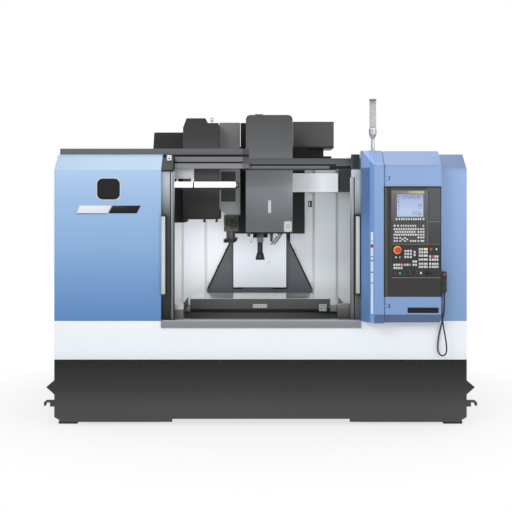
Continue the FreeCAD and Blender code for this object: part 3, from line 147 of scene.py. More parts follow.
def linear(red, green, blue):
    """A colour written as it looks on screen, 0 to 255, as the shader's linear values."""
    parts = [c / 255 for c in (red, green, blue)]
    return tuple(c / 12.92 if c <= 0.04045 else ((c + 0.055) / 1.055) ** 2.4
                 for c in parts) + (1.0,)


def new_finish(name):
    """A fresh material, its surface shader and its object coordinates."""
    made = bpy.data.materials.new(name)
    made.use_nodes = True
    tree = made.node_tree
    spot = tree.nodes.new("ShaderNodeTexCoord")
    return made, tree.nodes["Principled BSDF"], Socket(tree, spot.outputs["Object"])


def feed(shader, name, given):
    if isinstance(given, Socket):
        given.tree.links.new(given.link, shader.inputs[name])
    else:
        shader.inputs[name].default_value = given


def looked_at(tree):
    """1 where a ray comes from the camera, a mirror or through glass, and 0 where it lights."""
    straight, mirrored, through = (tree.node("ShaderNodeLightPath", output=n) for n in (0, 3, 6))
    return straight.math("MAXIMUM", straight, mirrored.math("MAXIMUM", mirrored, through))


FAR_FLOOR = 12
CONTACT = 1.7
bmesh.ops.create_grid(bench, x_segments=1, y_segments=1, size=FAR_FLOOR)
floor = object_from_bench("floor")
floor_finish, floor_shader, floor_spot = new_finish("floor_paper")
feed(floor_shader, "Base Color", linear(246, 246, 246))
feed(floor_shader, "Roughness", 0.85)
reach = floor_spot.node("ShaderNodeVectorMath", {"operation": "LENGTH"}, output=1, i0=floor_spot)
lit_share = 0.72 + ((reach - CONTACT) * 0.8).clamp() * 0.28
bright = floor_spot.node("ShaderNodeEmission", Color=(1, 1, 1, 1), Strength=1.0)
paper_mix = floor_spot.node(
    "ShaderNodeMixShader", i0=looked_at(floor_spot) * lit_share,
    i1=Socket(floor_spot.tree, floor_shader.outputs["BSDF"]), i2=bright)
floor_spot.tree.links.new(paper_mix.link,
                          floor_spot.tree.nodes["Material Output"].inputs["Surface"])
floor.data.materials.append(floor_finish)

world = bpy.data.worlds.new("studio")
world.use_nodes = True
bpy.context.scene.world = world
air = Socket(world.node_tree, None)
sky = air.node("ShaderNodeMixShader", i0=looked_at(air),
               i1=air.node("ShaderNodeBackground", Color=(0.88, 0.91, 0.96, 1), Strength=0.42),
               i2=air.node("ShaderNodeBackground", Color=(1, 1, 1, 1), Strength=1.0))
world.node_tree.links.new(sky.link, world.node_tree.nodes["World Output"].inputs["Surface"])

# Each lamp has its place, what it points at, its size in metres and its watts. The bay lamps
# leave no glint on the steel.
for name, place, aim, (wide, tall), watts in (
        ("key_lamp", (-3.5, -7.0, 5.2), (0, 0, 1.2), (4, 3), 210),
        ("fill_lamp", (4.5, -6.0, 3.0), (0, -0.5, 1.2), (4, 3), 105),
        ("top_lamp", (0, -0.5, 6.5), (0, 0, 0), (5, 4), 110),
        ("bay_lamp_left", (-0.47, -0.42, 1.27), (-0.47, 0.35, 1.22), (0.62, 0.48), 5.0),
        ("bay_lamp_side", (-0.38, -0.40, 1.26), (-0.70, -0.62, 1.22), (0.3, 0.44), 1.5),
        ("bay_lamp_right", (0.48, -0.36, 1.32), (0.48, 0.35, 1.32), (0.4, 0.6), 3.1),
        ("bay_lamp_upper", (0.54, -0.55, 1.93), (0.54, 0.35, 1.90), (0.36, 0.16), 1.6),
        ("rear_lamp", (2.5, 7.0, 4.5), (0, 0, 1.2), (4, 3), 110)):
    light = bpy.data.lights.new(name, "AREA")
    light.shape = "RECTANGLE"
    light.size, light.size_y = wide, tall
    light.energy = watts
    holder = bpy.data.objects.new(name, light)
    holder.location = place
    holder.rotation_euler = (Vector(aim) - Vector(place)).to_track_quat("-Z", "Y").to_euler()
    holder.visible_camera = False
    holder.visible_glossy = not name.startswith("bay")
    bpy.context.collection.objects.link(holder)

# ------------------------------------------------------------------ pendant cord
# A black rubber cable that leaves the foot of the hand pendant, hangs in one long narrow loop
# and goes back up into the gland of the holder.
CORD_ROUTE = [
    (1438, -1148, 1048), (1436, -1151, 990), (1439, -1158, 905), (1447, -1168, 812),
    (1462, -1177, 722), (1472, -1181, 655), (1473, -1180, 590), (1456, -1161, 565),
    (1432, -1134, 563), (1416, -1116, 590), (1415, -1114, 650), (1426, -1117, 735),
    (1444, -1123, 812), (1460, -1130, 890), (1465, -1135, 978), (1464, -1136, 1060),
]
CORD_WIDE = 0.012
line = bpy.data.curves.new("pendant_cable", "CURVE")
line.dimensions = "3D"
line.bevel_depth = CORD_WIDE / 2
line.bevel_resolution = 4
line.resolution_u = 10
run = line.splines.new("NURBS")
run.points.add(len(CORD_ROUTE) - 1)
for point, (x, y, z) in zip(run.points, CORD_ROUTE):
    point.co = (x / 1000, y / 1000, z / 1000, 1)
run.order_u = 3
run.use_endpoint_u = True
cable = bpy.data.objects.new("pendant_cable", line)
bpy.context.collection.objects.link(cable)


def noise(spot, scale, detail=3.0):
    return spot.node("ShaderNodeTexNoise", i2=scale, i3=detail, Vector=spot)


def bump(spot, height, strength, distance=0.001):
    return spot.node("ShaderNodeBump", Height=height, Strength=strength, Distance=distance)


def coat(name, base, rough=0.35, grain=900.0, metal=0.0, mottle=0.05, dents=0.04,
         shine=0.0, gloss=0.5):
    """Sprayed or moulded surface: its colour comes from base, a function of the place, with
    dulled patches where hands and coolant have been and a faint orange peel."""
    made, shader, spot = new_finish(name)
    colour = base(spot)
    patches = (noise(spot, 2.2, 3.0) - 0.35).clamp() * mottle * 2
    feed(shader, "Base Color", patches.mix(colour, linear(40, 42, 45)))
    dull = rough(spot) if callable(rough) else rough
    feed(shader, "Roughness", dull + (noise(spot, 5.0, 2.0) - 0.5) * mottle * 2.6)
    feed(shader, "Metallic", metal(spot) if callable(metal) else metal)
    feed(shader, "Specular IOR Level", gloss)
    feed(shader, "Coat Weight", shine)
    feed(shader, "Normal", bump(spot, noise(spot, grain, 2.0), dents, 0.0006))
    return made


def paint(name, stops, rough=0.35, axis="Z", **rest):
    """A coat whose colour changes along one axis, in metres."""
    return coat(name, lambda spot: spot.along(axis).ramp(stops), rough, **rest)


rubber = paint("cable_rubber", {0.5: (26, 26, 28), 1.1: (40, 40, 43)}, 0.5, grain=500.0)
line.materials.append(rubber)
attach(cable, "console")
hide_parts("pendant_cord")


# ------------------------------------------------------------------ cabin sheet metal
# Folded steel covers, sprayed blue above a white band and a black skirt, screwed to the frame.
# Painted light: the blue grows paler towards the top of each cover, and the skirt paler towards
# its foot.
def coat_nodes(finish, *names):
    for name in names:
        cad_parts[name].data.materials.clear()
        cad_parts[name].data.materials.append(finish)


SPRAYED = {"shine": 0.1, "grain": 9.0, "dents": 0.02, "mottle": 0.012}
# Painted light: this ramp makes the blue paler towards the top of the cover.
blue = paint(
    "blue_cover", {0.83: (86, 134, 188), 1.10: (108, 151, 201), 1.45: (137, 175, 217),
    1.85: (160, 191, 228), 2.03: (176, 203, 234), 2.06: (168, 193, 218), 2.17: (170, 195, 220)},
    0.3, **SPRAYED)
coat_nodes(blue, "left_cover")
# The right cover's own copy of the blue, with painted light: paler low down, darker at the top and
# on the chamfer.
blue_right_painted_light = paint(
    "blue_cover_right_painted_light", {0.83: (126, 160, 203), 1.45: (142, 174, 217), 2.03: (147, 177, 220),
    2.06: (108, 132, 174)}, 0.3, **SPRAYED)
coat_nodes(blue_right_painted_light, "right_cover")
coat_nodes(paint("white_band", {0.52: (236, 239, 244), 0.6: (245, 249, 253),
           0.83: (248, 251, 255)}, 0.35, grain=9.0, dents=0.02, mottle=0.01), "front_apron")
# Painted light and shade: the skirt is near black at its top and paler grey towards its foot.
black_skirt = paint(
    "black_skirt", {0.03: (82, 80, 78), 0.16: (78, 76, 75), 0.30: (57, 57, 57),
    0.52: (30, 30, 30)}, 0.6, grain=300.0, dents=0.1, gloss=0.2)
coat_nodes(black_skirt, "base_skirt")


def block(x, y, z, soft=0.0, steps=2, turn=0.0, rims=None):
    """A block between three pairs of millimetres, its edges rounded, then turned about its
    own upright middle line. rims keeps the rounding to edges on the side it names."""
    made = bmesh.ops.create_cube(bench, size=1)["verts"]
    bmesh.ops.scale(bench, vec=[(high - low) / 1000 for low, high in (x, y, z)], verts=made)
    edges = {edge for vert in made for edge in vert.link_edges}
    if rims == "front":
        edges = {e for e in edges if all(v.co.y < 0 for v in e.verts)}
    if soft:
        out = bmesh.ops.bevel(bench, geom=list(edges), offset=soft / 1000, segments=steps,
                              affect="EDGES", profile=0.5, material=-1)
        made = list({v for v in made if v.is_valid} | set(out["verts"]))
    bmesh.ops.rotate(bench, matrix=Matrix.Rotation(turn, 3, "Z"), verts=made)
    bmesh.ops.translate(bench, vec=[(low + high) / 2000 for low, high in (x, y, z)], verts=made)


def piece(name, finish, body="base"):
    """Makes what lies on the bench one visible piece, with its finish, that rides on a body."""
    thing = object_from_bench(name)
    thing.data.materials.append(finish)
    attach(thing, body)


def lay(part):
    """Adds a part that was made on its own to the bench."""
    mesh = bpy.data.meshes.new("part")
    part.to_mesh(mesh)
    part.free()
    bench.from_mesh(mesh)
    bpy.data.meshes.remove(mesh)


def turned(centre, profile, axis="Z", steps=24):
    """A piece spun on a lathe at centre: profile lists its radius and its distance along the
    axis, from one end to the other, in millimetres. Axis Y points to the front."""
    part = bmesh.new()
    ring = [part.verts.new((radius / 1000, 0, far / 1000)) for radius, far in profile]
    chain = [part.edges.new(pair) for pair in zip(ring, ring[1:])]
    bmesh.ops.spin(part, geom=ring + chain, axis=(0, 0, 1), cent=(0, 0, 0),
                   angle=math.tau, steps=steps, use_merge=True)
    bmesh.ops.remove_doubles(part, verts=part.verts, dist=1e-6)
    bmesh.ops.recalc_face_normals(part, faces=part.faces)
    if axis != "Z":
        swing = ("X", math.pi / 2) if axis == "Y" else ("Y", math.pi / 2)
        bmesh.ops.rotate(part, matrix=Matrix.Rotation(swing[1], 3, swing[0]), verts=part.verts)
    bmesh.ops.translate(part, vec=[c / 1000 for c in centre], verts=part.verts)
    lay(part)


def turned_row(places, profile, axis="Y", way=1, steps=10, grow=1.0):
    """The same profile on a lathe at many places. Way -1 points it the other way."""
    for place in places:
        turned(place, [(r * grow, far * way) for r, far in profile], axis, steps)


def screws(places, radius=5.0, steps=10):
    """Button-head screws with their sockets, standing on the places given."""
    turned_row(
        places, [(0, -1), (radius, -1), (radius, radius * 0.35), (radius * 0.7, radius * 0.6),
        (radius * 0.4, radius * 0.6), (radius * 0.4, radius * 0.25), (0, radius * 0.25)],
        steps=steps)


zinc = paint("zinc_screws", {0.0: (150, 152, 155), 2.6: (168, 170, 173)}, 0.3, metal=0.8)
dark_screw = paint("dark_screws", {0.0: (46, 46, 47), 2.6: (58, 58, 60)}, 0.4, metal=0.4)

screws([(side * x, -1100, 500) for side in (-1, 1) for x in (1560, 1250, 940, 630, 320)], 6.0)
piece("cover_screws", dark_screw)

# The long side and rear sheets are made in lengths: dark joint strips, edge screws, a service
# hatch with its latches on each side, and the air service unit on the rear left.
SIDE = 1650
REAR = 700
SCREW_HEAD = ((0, -1), (5, -1), (5, 1.8), (3.5, 3), (2, 3), (2, 1.2), (0, 1.2))
LATCH_ROSE = ((0, -1), (16, -1), (16, 2), (13, 4), (0, 4))


def flank(side, low, high):
    """A pair of millimetres across, on the left side (-1) or on the right (1)."""
    return sorted((side * low, side * high))


shadow_black = paint("joint_shadow", {0.5: (22, 24, 28), 2.2: (30, 33, 38)}, 0.6, gloss=0.2)
for side in (-1, 1):
    face = flank(side, SIDE - 1, SIDE + 1)
    for y in (-420, 160):
        block(face, (y - 2, y + 2), (836, 2020), 0.5, 1)
        block(flank(side, 760, 1560), (y - 2, y + 2), (2173, 2175), 0.5, 1)
    block(flank(side, 460, 1648), (REAR - 1, REAR + 1), (831, 835), 0.5, 1)
    for z in (833, 525):
        block(face, (-1090, 696), (z - 2, z + 2), 0.5, 1)
piece("cover_joints", shadow_black)
block(flank(-1, SIDE - 1, SIDE + 2.5), (-330, 70), (1060, 1640), 2.0)
block((-1300, -760), (REAR - 1, REAR + 2.5), (1050, 1750), 2.0)
piece("left_hatches", blue)
block(flank(1, SIDE - 1, SIDE + 2.5), (-330, 70), (1060, 1640), 2.0)
piece("right_hatch", blue_right_painted_light)
rows = [(y, z) for z in (866, 1990) for y in (-1060, -740, -450, -390, -130, 130, 190, 430, 665)]
rows += [(y, 560) for y in (-900, -600, -300, 300, 600)]
for side in (-1, 1):
    turned_row([(side * SIDE, y, z) for y, z in rows], SCREW_HEAD, "X", side)
    turned_row([(side * x, REAR, z) for x in (600, 900, 1250, 1600) for z in (866, 2060)],
               SCREW_HEAD, "Y", -1)
piece("side_screws", zinc)
for side in (-1, 1):
    turned_row([(side * (SIDE + 2.5), -295, z) for z in (1150, 1550)], LATCH_ROSE, "X", side, 24)
    for z in (1150, 1550):
        block(flank(side, SIDE + 5, SIDE + 8), (-298, -292), (z - 10, z + 10), 1.0)
        block(flank(side, SIDE, SIDE + 6), (66, 82), (z - 28, z + 28), 2.0)
turned_row([(-1265, REAR + 2.5, z) for z in (1150, 1650)], LATCH_ROSE, "Y", -1, 24)
for z in (1150, 1650):
    block((-772, -752), (REAR, REAR + 6), (z - 28, z + 28), 2.0)
piece("hatch_latches", dark_screw)
for row in range(8):
    low = 1120 + row * 30
    block((-1150, -910), (REAR + 1, REAR + 6), (low, low + 14), 4.0)
piece("hatch_louvres", blue)
block((-1600, -1400), (REAR - 1, REAR + 6), (560, 790), 3.0)
for x in (-1555, -1500, -1445):
    block((x - 22, x + 22), (REAR + 5, REAR + 55), (700, 748), 5.0)
for x in (-1555, -1500):
    turned((x, REAR + 30, 600), [(0, 0), (14, 0), (20, 10), (21, 100), (0, 100)])
turned((-1500, REAR + 30, 747), [(0, 0), (16, 0), (18, 6), (18, 26), (14, 30), (0, 30)])
piece("air_service_unit", dark_screw)
turned((-1445, REAR + 55, 724), [(0, 0), (19, 0), (19, -12), (17, -15), (0, -14)], "Y", 28)
turned((-1578, REAR + 30, 724), [(0, 0), (7, 0), (7, -18), (4, -18), (4, -26), (0, -26)], "X", 6)
piece("air_gauge", zinc)

# Plain plates glued on the left cover: a dark enamelled one with a bright rim, and a slim
# two-tone strip below it.
plate_black = paint("plate_black", {0.8: (22, 23, 25), 2.0: (24, 25, 28)}, 0.3, gloss=0.2)
plate_white = paint("plate_white", {0.8: (226, 228, 230), 2.6: (238, 240, 242)}, 0.35)
plate_silver = paint("plate_silver", {0.8: (196, 199, 203), 2.6: (206, 209, 213)}, 0.3, metal=0.5)


def plate(x, z, front, thick=2.0, corner=6.0):
    """A thin plate with round corners, standing proud of the surface at front."""
    made = bmesh.ops.create_cube(bench, size=1)["verts"]
    bmesh.ops.scale(
        bench, vec=((x[1] - x[0]) / 1000, (thick + 1) / 1000, (z[1] - z[0]) / 1000), verts=made)
    edges = {e for v in made for e in v.link_edges if abs(e.verts[0].co.y - e.verts[1].co.y) > 0}
    out = bmesh.ops.bevel(
        bench, geom=list(edges), offset=corner / 1000, segments=4, affect="EDGES", profile=0.5,
        material=-1)
    made = list({v for v in made if v.is_valid} | set(out["verts"]))
    bmesh.ops.translate(
        bench, vec=((x[0] + x[1]) / 2000, (front - (thick - 1) / 2) / 1000, (z[0] + z[1]) / 2000),
        verts=made)


plate((-1316, -1116), (1796, 1982), -1100, 2.0, 50)
piece("badge_rim", plate_silver)
plate((-1307, -1125), (1805, 1973), -1102, 1.5, 44)
piece("badge", plate_black)


def slanted(corners, front, thick):
    """A plate cut to the corners (x, z) in millimetres, pressed out of the front plane."""
    low = [bench.verts.new((x / 1000, front / 1000 + 0.001, z / 1000)) for x, z in corners]
    base = bench.faces.new(low)
    out = bmesh.ops.extrude_face_region(bench, geom=[base])
    fresh = [v for v in out["geom"] if isinstance(v, bmesh.types.BMVert)]
    bmesh.ops.translate(bench, vec=(0, -(thick + 1) / 1000, 0), verts=fresh)
    bmesh.ops.recalc_face_normals(bench, faces=bench.faces)
    rim = [e for e in bench.edges if all(v in fresh for v in e.verts)]
    bmesh.ops.bevel(
        bench, geom=rim, offset=0.0008, segments=2, affect="EDGES", profile=0.5, material=-1)


slanted(((-1470, 1694), (-1224, 1694), (-1192, 1756), (-1446, 1756)), -1100, 2.0)
piece("name_strip_left", plate_white)
slanted(((-1216, 1694), (-990, 1694), (-958, 1756), (-1184, 1756)), -1100, 2.0)
slanted(((-1472, 1688), (-1226, 1688), (-1223, 1693), (-1470, 1693)), -1100, 1.6)
piece("name_strip_right", plate_black)

# Wedge rails and cast lifting hooks stick out of both sides of the skirt, and their ends show at
# its front corners. Short feet close the ends of the recess below the skirt's front.
WEDGE = ((1648, 242), (1716, 303), (1648, 360))
HOOK = ((1648, 147), (1685, 147), (1685, 179), (1720, 179), (1723, 174), (1723, 153),
        (1734, 153), (1734, 181), (1724, 191), (1648, 191))
for side in (-1, 1):
    slanted([(side * x, z) for x, z in WEDGE], -900, 196)
    slanted([(side * x, z) for x, z in HOOK], -1040, 56)
for foot in ((-798, -708), (716, 798)):
    block(foot, (-1098, -1060), (25, 56), 1.0)
piece("skirt_ends", black_skirt)

# ------------------------------------------------------------------ castings
# Bed, column, saddle and head slide are grey iron, sand-cast, filled and sprayed dark grey.
# Painted light makes the grey paler at saddle height, and painted shade darkens it higher up.
coat_nodes(
    paint("casting_paint", {0.1: (60, 61, 63), 0.68: (98, 98, 97), 0.86: (98, 98, 97),
    1.0: (58, 59, 61), 1.6: (34, 35, 35), 2.4: (28, 28, 29)}, 0.55, grain=160.0, dents=0.25,
    gloss=0.15), "bed", "column", "saddle", "head_casting")

# ------------------------------------------------------------------ door frame and rails
# Extruded rails, a hollow top beam and a stainless threshold, bolted across the front opening.
# A painted highlight runs along the threshold's top edge, and painted shade lies under the beam's
# lip and in its groove. The corner block at the left end of the beam is coloured nearly black.
def frame_colour(spot):
    across, high = spot.along("X"), spot.along("Z")
    # Painted highlight: the pale line from 0.832 to 0.834 m along the threshold's top edge.
    base = high.ramp(
        {0.78: (136, 136, 135), 0.8305: (143, 145, 147), 0.832: (232, 233, 234),
        0.834: (232, 233, 234), 0.8355: (143, 145, 147), 1.9: (142, 142, 144),
        2.06: (140, 139, 142), 2.15: (131, 130, 133), 2.17: (92, 94, 96), 2.22: (98, 100, 102)})
    # Painted shade: the beam is near black under its lip, from 2.04 to 2.06 m.
    beam = (across > -0.147) * (high > 2.04)
    base = beam.mix(base, high.ramp({2.04: (50, 51, 52), 2.0595: (52, 53, 54),
                                     2.0605: (112, 114, 116), 2.08: (106, 108, 110),
                                     2.10: (92, 94, 96), 2.17: (70, 72, 74)}))
    # Painted shade inside the beam's groove.
    groove_shade = (across > -0.147) * (spot.along("Y") > -0.9185) * high.within(2.08, 2.098)
    base = groove_shade.mix(base, linear(22, 22, 23))
    corner = across.within(-0.80, -0.70) * high.within(2.03, 2.172)
    base = corner.mix(base, linear(20, 20, 21))
    right_corner = across.within(0.745, 0.80) * high.within(2.03, 2.172)
    return right_corner.mix(base, linear(40, 40, 42))


coat_nodes(coat("rail_paint", frame_colour, 0.42, gloss=0.35), "door_frame")
# Black rubber, also used for strips of painted shade.
black_rubber_and_shade = paint("black_rubber_and_shade", {0.5: (20, 20, 22), 2.4: (26, 26, 28)}, 0.6, gloss=0.2)
# Black strips in the grooves and under the lip of the rails: painted shade.
block((-704, -95), (-922, -918), (2157, 2173), 1.0)
block((-704, -147), (-922, -918), (2102, 2116), 1.0)
block((565, 806), (-924, -918), (2057, 2081), 1.0)
piece("rail_groove_shade", black_rubber_and_shade)
block((-759, -720), (-1001, -965), (2112, 2166), 2.0)
piece("limit_block", plate_white)
screws([(x, -1001, z) for x in (-751, -728) for z in (2122, 2156)], 3.0)
turned((-739, -1001, 2139), [(0, -1), (6, -1), (6, 2), (4, 3), (0, 3)], "Y")
piece("limit_block_screws", dark_screw)

# A lip along the threshold's top edge, painted pale as a highlight.
block((-794, 802), (-1084, -1079), (831, 837), 0.8)
piece("threshold_lip", paint("threshold_highlight", {0.8: (246, 248, 250), 0.9: (246, 248, 250)},
      0.35))

# ------------------------------------------------------------------ sliding doors
# Each door is a folded sheet leaf with a window, a round aluminium pull on a black backing
# plate, a bright edge strip and a rubber lip on its leading edge. It hangs on rollers.
# Painted reflection: each door sheet runs from near black at its foot to pale grey at its top, and
# the right door has a lighter copy of its own.
coat_nodes(
    paint("door_sheet", {0.84: (6, 20, 16), 1.15: (66, 68, 69), 1.40: (72, 73, 75),
    1.66: (80, 82, 84), 1.74: (124, 128, 132), 1.92: (190, 195, 204), 2.03: (198, 203, 214)}, 0.4,
    gloss=0.25), "left_door")
door_sheet_right_painted_light = paint(
    "door_sheet_right_painted_light", {0.84: (90, 92, 91), 1.15: (122, 124, 124), 1.40: (136, 136, 138),
    1.66: (132, 134, 136), 1.74: (170, 174, 178), 1.90: (210, 214, 219), 2.05: (214, 218, 224)},
    0.4)
coat_nodes(door_sheet_right_painted_light, "right_door")
block((737, 818), (-1000, -984), (1983, 2048), 1.0)
piece("right_door_header", door_sheet_right_painted_light, "right_door")
# Painted light: the edge strips grow lighter towards the top, and the right door's strip is a
# lighter copy.
EDGE_STOPS = {"left": {0.84: (104, 106, 106), 1.2: (126, 128, 128), 2.0: (146, 148, 148)},
              "right": {0.84: (118, 120, 120), 1.2: (148, 150, 151), 2.0: (172, 174, 175)}}
for side, lead, front in (("left", -700, -1065), ("right", 737, -1000)):
    inward = 1 if side == "left" else -1
    upright = (838, 2028 if side == "left" else 1983)
    across = sorted((lead, lead - 19 * inward))
    block(across, (front - 2, front + 3), upright, 0.8)
    piece(f"{side}_door_edge", paint(f"{side}_bright_edge", EDGE_STOPS[side], 0.35, metal=0.3),
          f"{side}_door")
    across = sorted((lead - 19 * inward, lead - 27 * inward))
    block(across, (front - 1, front + 3), upright, 0.3)
    piece(f"{side}_door_groove", black_rubber_and_shade, f"{side}_door")
coat_nodes(
    paint("pull_aluminium", {1.03: (186, 192, 176), 1.2: (206, 208, 204), 1.5: (214, 215, 213),
    1.69: (206, 206, 206)}, 0.3, metal=0.35), "left_door_handle", "right_door_handle")
black_fittings = paint("black_fittings", {0.8: (34, 35, 37), 2.1: (30, 30, 32)}, 0.45)
coat_nodes(black_fittings, "left_door_fittings", "right_door_fittings")
for side, middle, front, body in (("left", -776, -1125, "left_door"),
                                  ("right", 783, -1060, "right_door")):
    for low, high in ((1029, 1052), (1668, 1691)):
        block((middle - 16.5, middle + 16.5), (front - 1.5, front + 17), (low, high), 4.0)
    piece(f"{side}_pull_caps", black_fittings, body)
    window = (-1470, -830) if side == "left" else (867, 1470)
    face = -1065 if side == "left" else -1000
    for x, z in (((window[0] - 14, window[1] + 14), (1136, 1152)),
                 ((window[0] - 14, window[1] + 14), (1898, 1914)),
                 ((window[0] - 14, window[0] + 2), (1136, 1914)),
                 ((window[1] - 2, window[1] + 14), (1136, 1914))):
        block(x, (face - 1.5, face + 2), z, 1.0)
    piece(f"{side}_window_gasket", black_rubber_and_shade, body)


def clear_sheet(name, colour, alpha, rough=0.04):
    made, shader, spot = new_finish(name)
    feed(shader, "Base Color", colour)
    feed(shader, "Roughness", rough + noise(spot, 8.0) * 0.05)
    feed(shader, "Alpha", alpha)
    made.surface_render_method = "BLENDED"
    return made


coat_nodes(clear_sheet("window_glass", linear(196, 208, 214), 0.3), "left_door_window",
           "right_door_window")


# ------------------------------------------------------------------ splash guards
# The inside of the cabin is brushed stainless sheet, with painted light on the left and painted
# shade on the right, where the cover shades it. Dark gussets and a foot plate close the column's
# base.
def inner_colour(spot):
    across, high = spot.along("X"), spot.along("Z")
    # Painted shade: the sheet and its shelf turn darker towards the right.
    right_shade_share = ((across - 0.05) * 3.0).clamp()
    left = high.ramp({0.84: (218, 220, 222), 1.5: (240, 242, 246), 2.1: (226, 228, 230)})
    right = high.ramp({0.84: (206, 210, 212), 1.06: (212, 217, 219), 1.28: (193, 197, 203),
                       1.48: (190, 194, 198), 1.70: (194, 200, 202), 2.1: (190, 194, 196)})
    shelf = high.ramp({0.84: (120, 119, 117), 0.905: (120, 119, 117), 0.912: (222, 223, 220),
                       0.953: (226, 227, 224), 0.957: (232, 234, 232)})
    shaded_shelf = high.ramp(
        {0.84: (66, 66, 62), 0.905: (90, 90, 88), 0.93: (118, 118, 118), 0.96: (128, 128, 128),
        0.965: (206, 210, 212)})
    return (spot.along("Y") < -0.6).mix(right_shade_share.mix(left, right),
                                        right_shade_share.mix(shelf, shaded_shelf))


coat_nodes(coat("inner_sheet", inner_colour, 0.32, metal=0.1), "inner_guards")
coat_nodes(paint("way_sheet", {0.98: (208, 212, 218), 1.3: (218, 223, 230), 1.55: (206, 210, 215),
           1.64: (140, 143, 146)}, 0.3, metal=0.15), "column_cover", "head_apron")
coat_nodes(
    paint("gusset_paint", {0.8: (54, 56, 60), 0.99: (80, 84, 90), 1.2: (88, 90, 94),
    1.40: (86, 88, 92), 1.45: (40, 41, 43), 1.8: (36, 37, 38)}, 0.4, gloss=0.25), "column_guards")


def bar(start, end, wide, y):
    """A flat bar between two places (x, z) in the plane of the wall, from y to y."""
    first, last = Vector((start[0], 0, start[1])), Vector((end[0], 0, end[1]))
    run = last - first
    made = bmesh.ops.create_cube(bench, size=1)["verts"]
    bmesh.ops.scale(bench, vec=(run.length / 1000, (y[1] - y[0]) / 1000, wide / 1000), verts=made)
    bmesh.ops.rotate(bench, matrix=Matrix.Rotation(-math.atan2(run.z, run.x), 3, "Y"), verts=made)
    middle = (first + last) / 2000
    bmesh.ops.translate(bench, vec=(middle.x, (y[0] + y[1]) / 2000, middle.z), verts=made)


for side in (-1, 1):
    name = "left" if side < 0 else "right"
    bar((side * 494, 968), (side * 285, 1402), 13, (316, 322))
    bar((side * 284, 1398), (side * 284, 1500), 7, (317, 344))
    piece(f"{name}_gusset_edging", black_rubber_and_shade)
    for share in (0.12, 0.5, 0.86):
        x = side * (500 - 209 * share)
        block((x - 7 + side * 6, x + 7 + side * 6), (322, 344),
              (966 + 434 * share - 4, 966 + 434 * share + 4), 1.5)
    piece(f"{name}_gusset_clips", zinc)
block((459, 467), (331, 346), (1747, 1801), 2.0)
block((459, 482), (331, 346), (1793, 1801), 2.0)
block((459, 482), (331, 346), (1747, 1755), 2.0)
block((478, 496), (341, 346), (1744, 1804), 1.0)
piece("wall_bracket", dark_screw)


# ------------------------------------------------------------------ table, saddle and covers
# The table is planed cast iron with T-slots, its front flank painted. Blank rating plates are
# riveted on the flank. Y way covers are stacked steel leaves with rubber wipers.
def metal(name, colour, rough, scale=(1.0, 1.0, 60.0), depth=0.25, shine=1.0):
    """Bare metal with fine tool lines along one axis and a little staining."""
    made, shader, spot = new_finish(name)
    lines = noise(spot.node("ShaderNodeMapping", Vector=spot, i3=scale), 40.0, 4.0)
    stains = ((noise(spot, 6.0, 5.0) - 0.5) * 2.2).clamp()
    feed(shader, "Base Color", stains.mix(colour, tuple(c * 0.72 for c in colour[:3]) + (1.0,)))
    feed(shader, "Roughness", rough + (lines - 0.5) * 0.22)
    feed(shader, "Metallic", shine)
    feed(shader, "Normal", bump(spot, lines, depth, 0.0004))
    return made


def table_colour(spot):
    high = spot.along("Z")
    painted = high.ramp({0.84: (92, 92, 92), 0.95: (98, 98, 98)})
    return (high > 0.9575).mix(painted, linear(212, 215, 216))


def planed(spot):
    return spot.along("Z") > 0.9575


coat_nodes(coat("table_paint", table_colour, lambda spot: 0.36 - planed(spot) * 0.19,
           metal=lambda spot: 0.1 + planed(spot) * 0.75, grain=400.0, dents=0.06), "table")
trough_paint = paint("trough_paint", {0.84: (92, 92, 90), 0.92: (98, 98, 96)}, 0.45)
coat_nodes(trough_paint, "table_troughs")
block((-1290, 1290), (-1050, 320), (318, 322), 0.5)
piece("chip_tray", trough_paint)
coat_nodes(metal("cover_steel", linear(120, 122, 124), 0.4, (1.0, 40.0, 1.0)), "saddle_covers",
           "y_cover_fixed_leaves", "y_cover_front_leaf", "y_cover_rear_leaf")
coat_nodes(black_skirt, "levelling_feet")
dark_steel = metal("dark_steel", linear(46, 47, 49), 0.34, (1.0, 30.0, 30.0), shine=0.5)
coat_nodes(dark_steel, "face_mill", "changer_arm", "key_switch")
plate((-62, 59), (880, 912), -550, 1.5, 3)
plate((505, 569), (851, 912), -550, 1.5, 3)
piece("table_plates", plate_white, "table")
for x in (-45, -22, 2, 25, 46):
    block((x - 4, x + 4), (-552, -551), (892, 900), 0.3, 1)
for x, z in ((518, 900), (537, 900), (556, 896), (520, 878), (538, 880), (556, 876), (530, 862)):
    block((x - 5, x + 5), (-552, -551), (z - 3, z + 3), 0.3, 1)
screws([(x, -552, z) for x in (-57, 54) for z in (885, 907)], 2.0, steps=8)
piece("table_plate_marks", dark_screw, "table")

# ------------------------------------------------------------------ spindle head
# The head casting wears a folded sheet cover with a small cap on top. Blank label plates are
# screwed to its front, and coolant hoses and an air block hang below it beside the nose.
# Painted light: the cover is brightest near 1.9 m and darker towards its top and its foot.
coat_nodes(
    paint("head_paint", {1.53: (108, 112, 113), 1.62: (108, 113, 114), 1.90: (152, 156, 161),
    2.03: (126, 127, 128), 2.30: (98, 99, 100), 2.54: (78, 78, 79)}, 0.38, gloss=0.35),
    "head_cover")
coat_nodes(metal("nose_steel", linear(84, 86, 89), 0.36, (30.0, 30.0, 1.0)), "spindle_nose")
plated = metal("plated_steel", linear(200, 202, 205), 0.16, (8.0, 8.0, 60.0), 0.08)
coat_nodes(plated, "spindle_shaft")


def holder_colour(spot):
    return (spot.along("Z") > 1.435).mix(linear(50, 51, 53), linear(150, 152, 155))


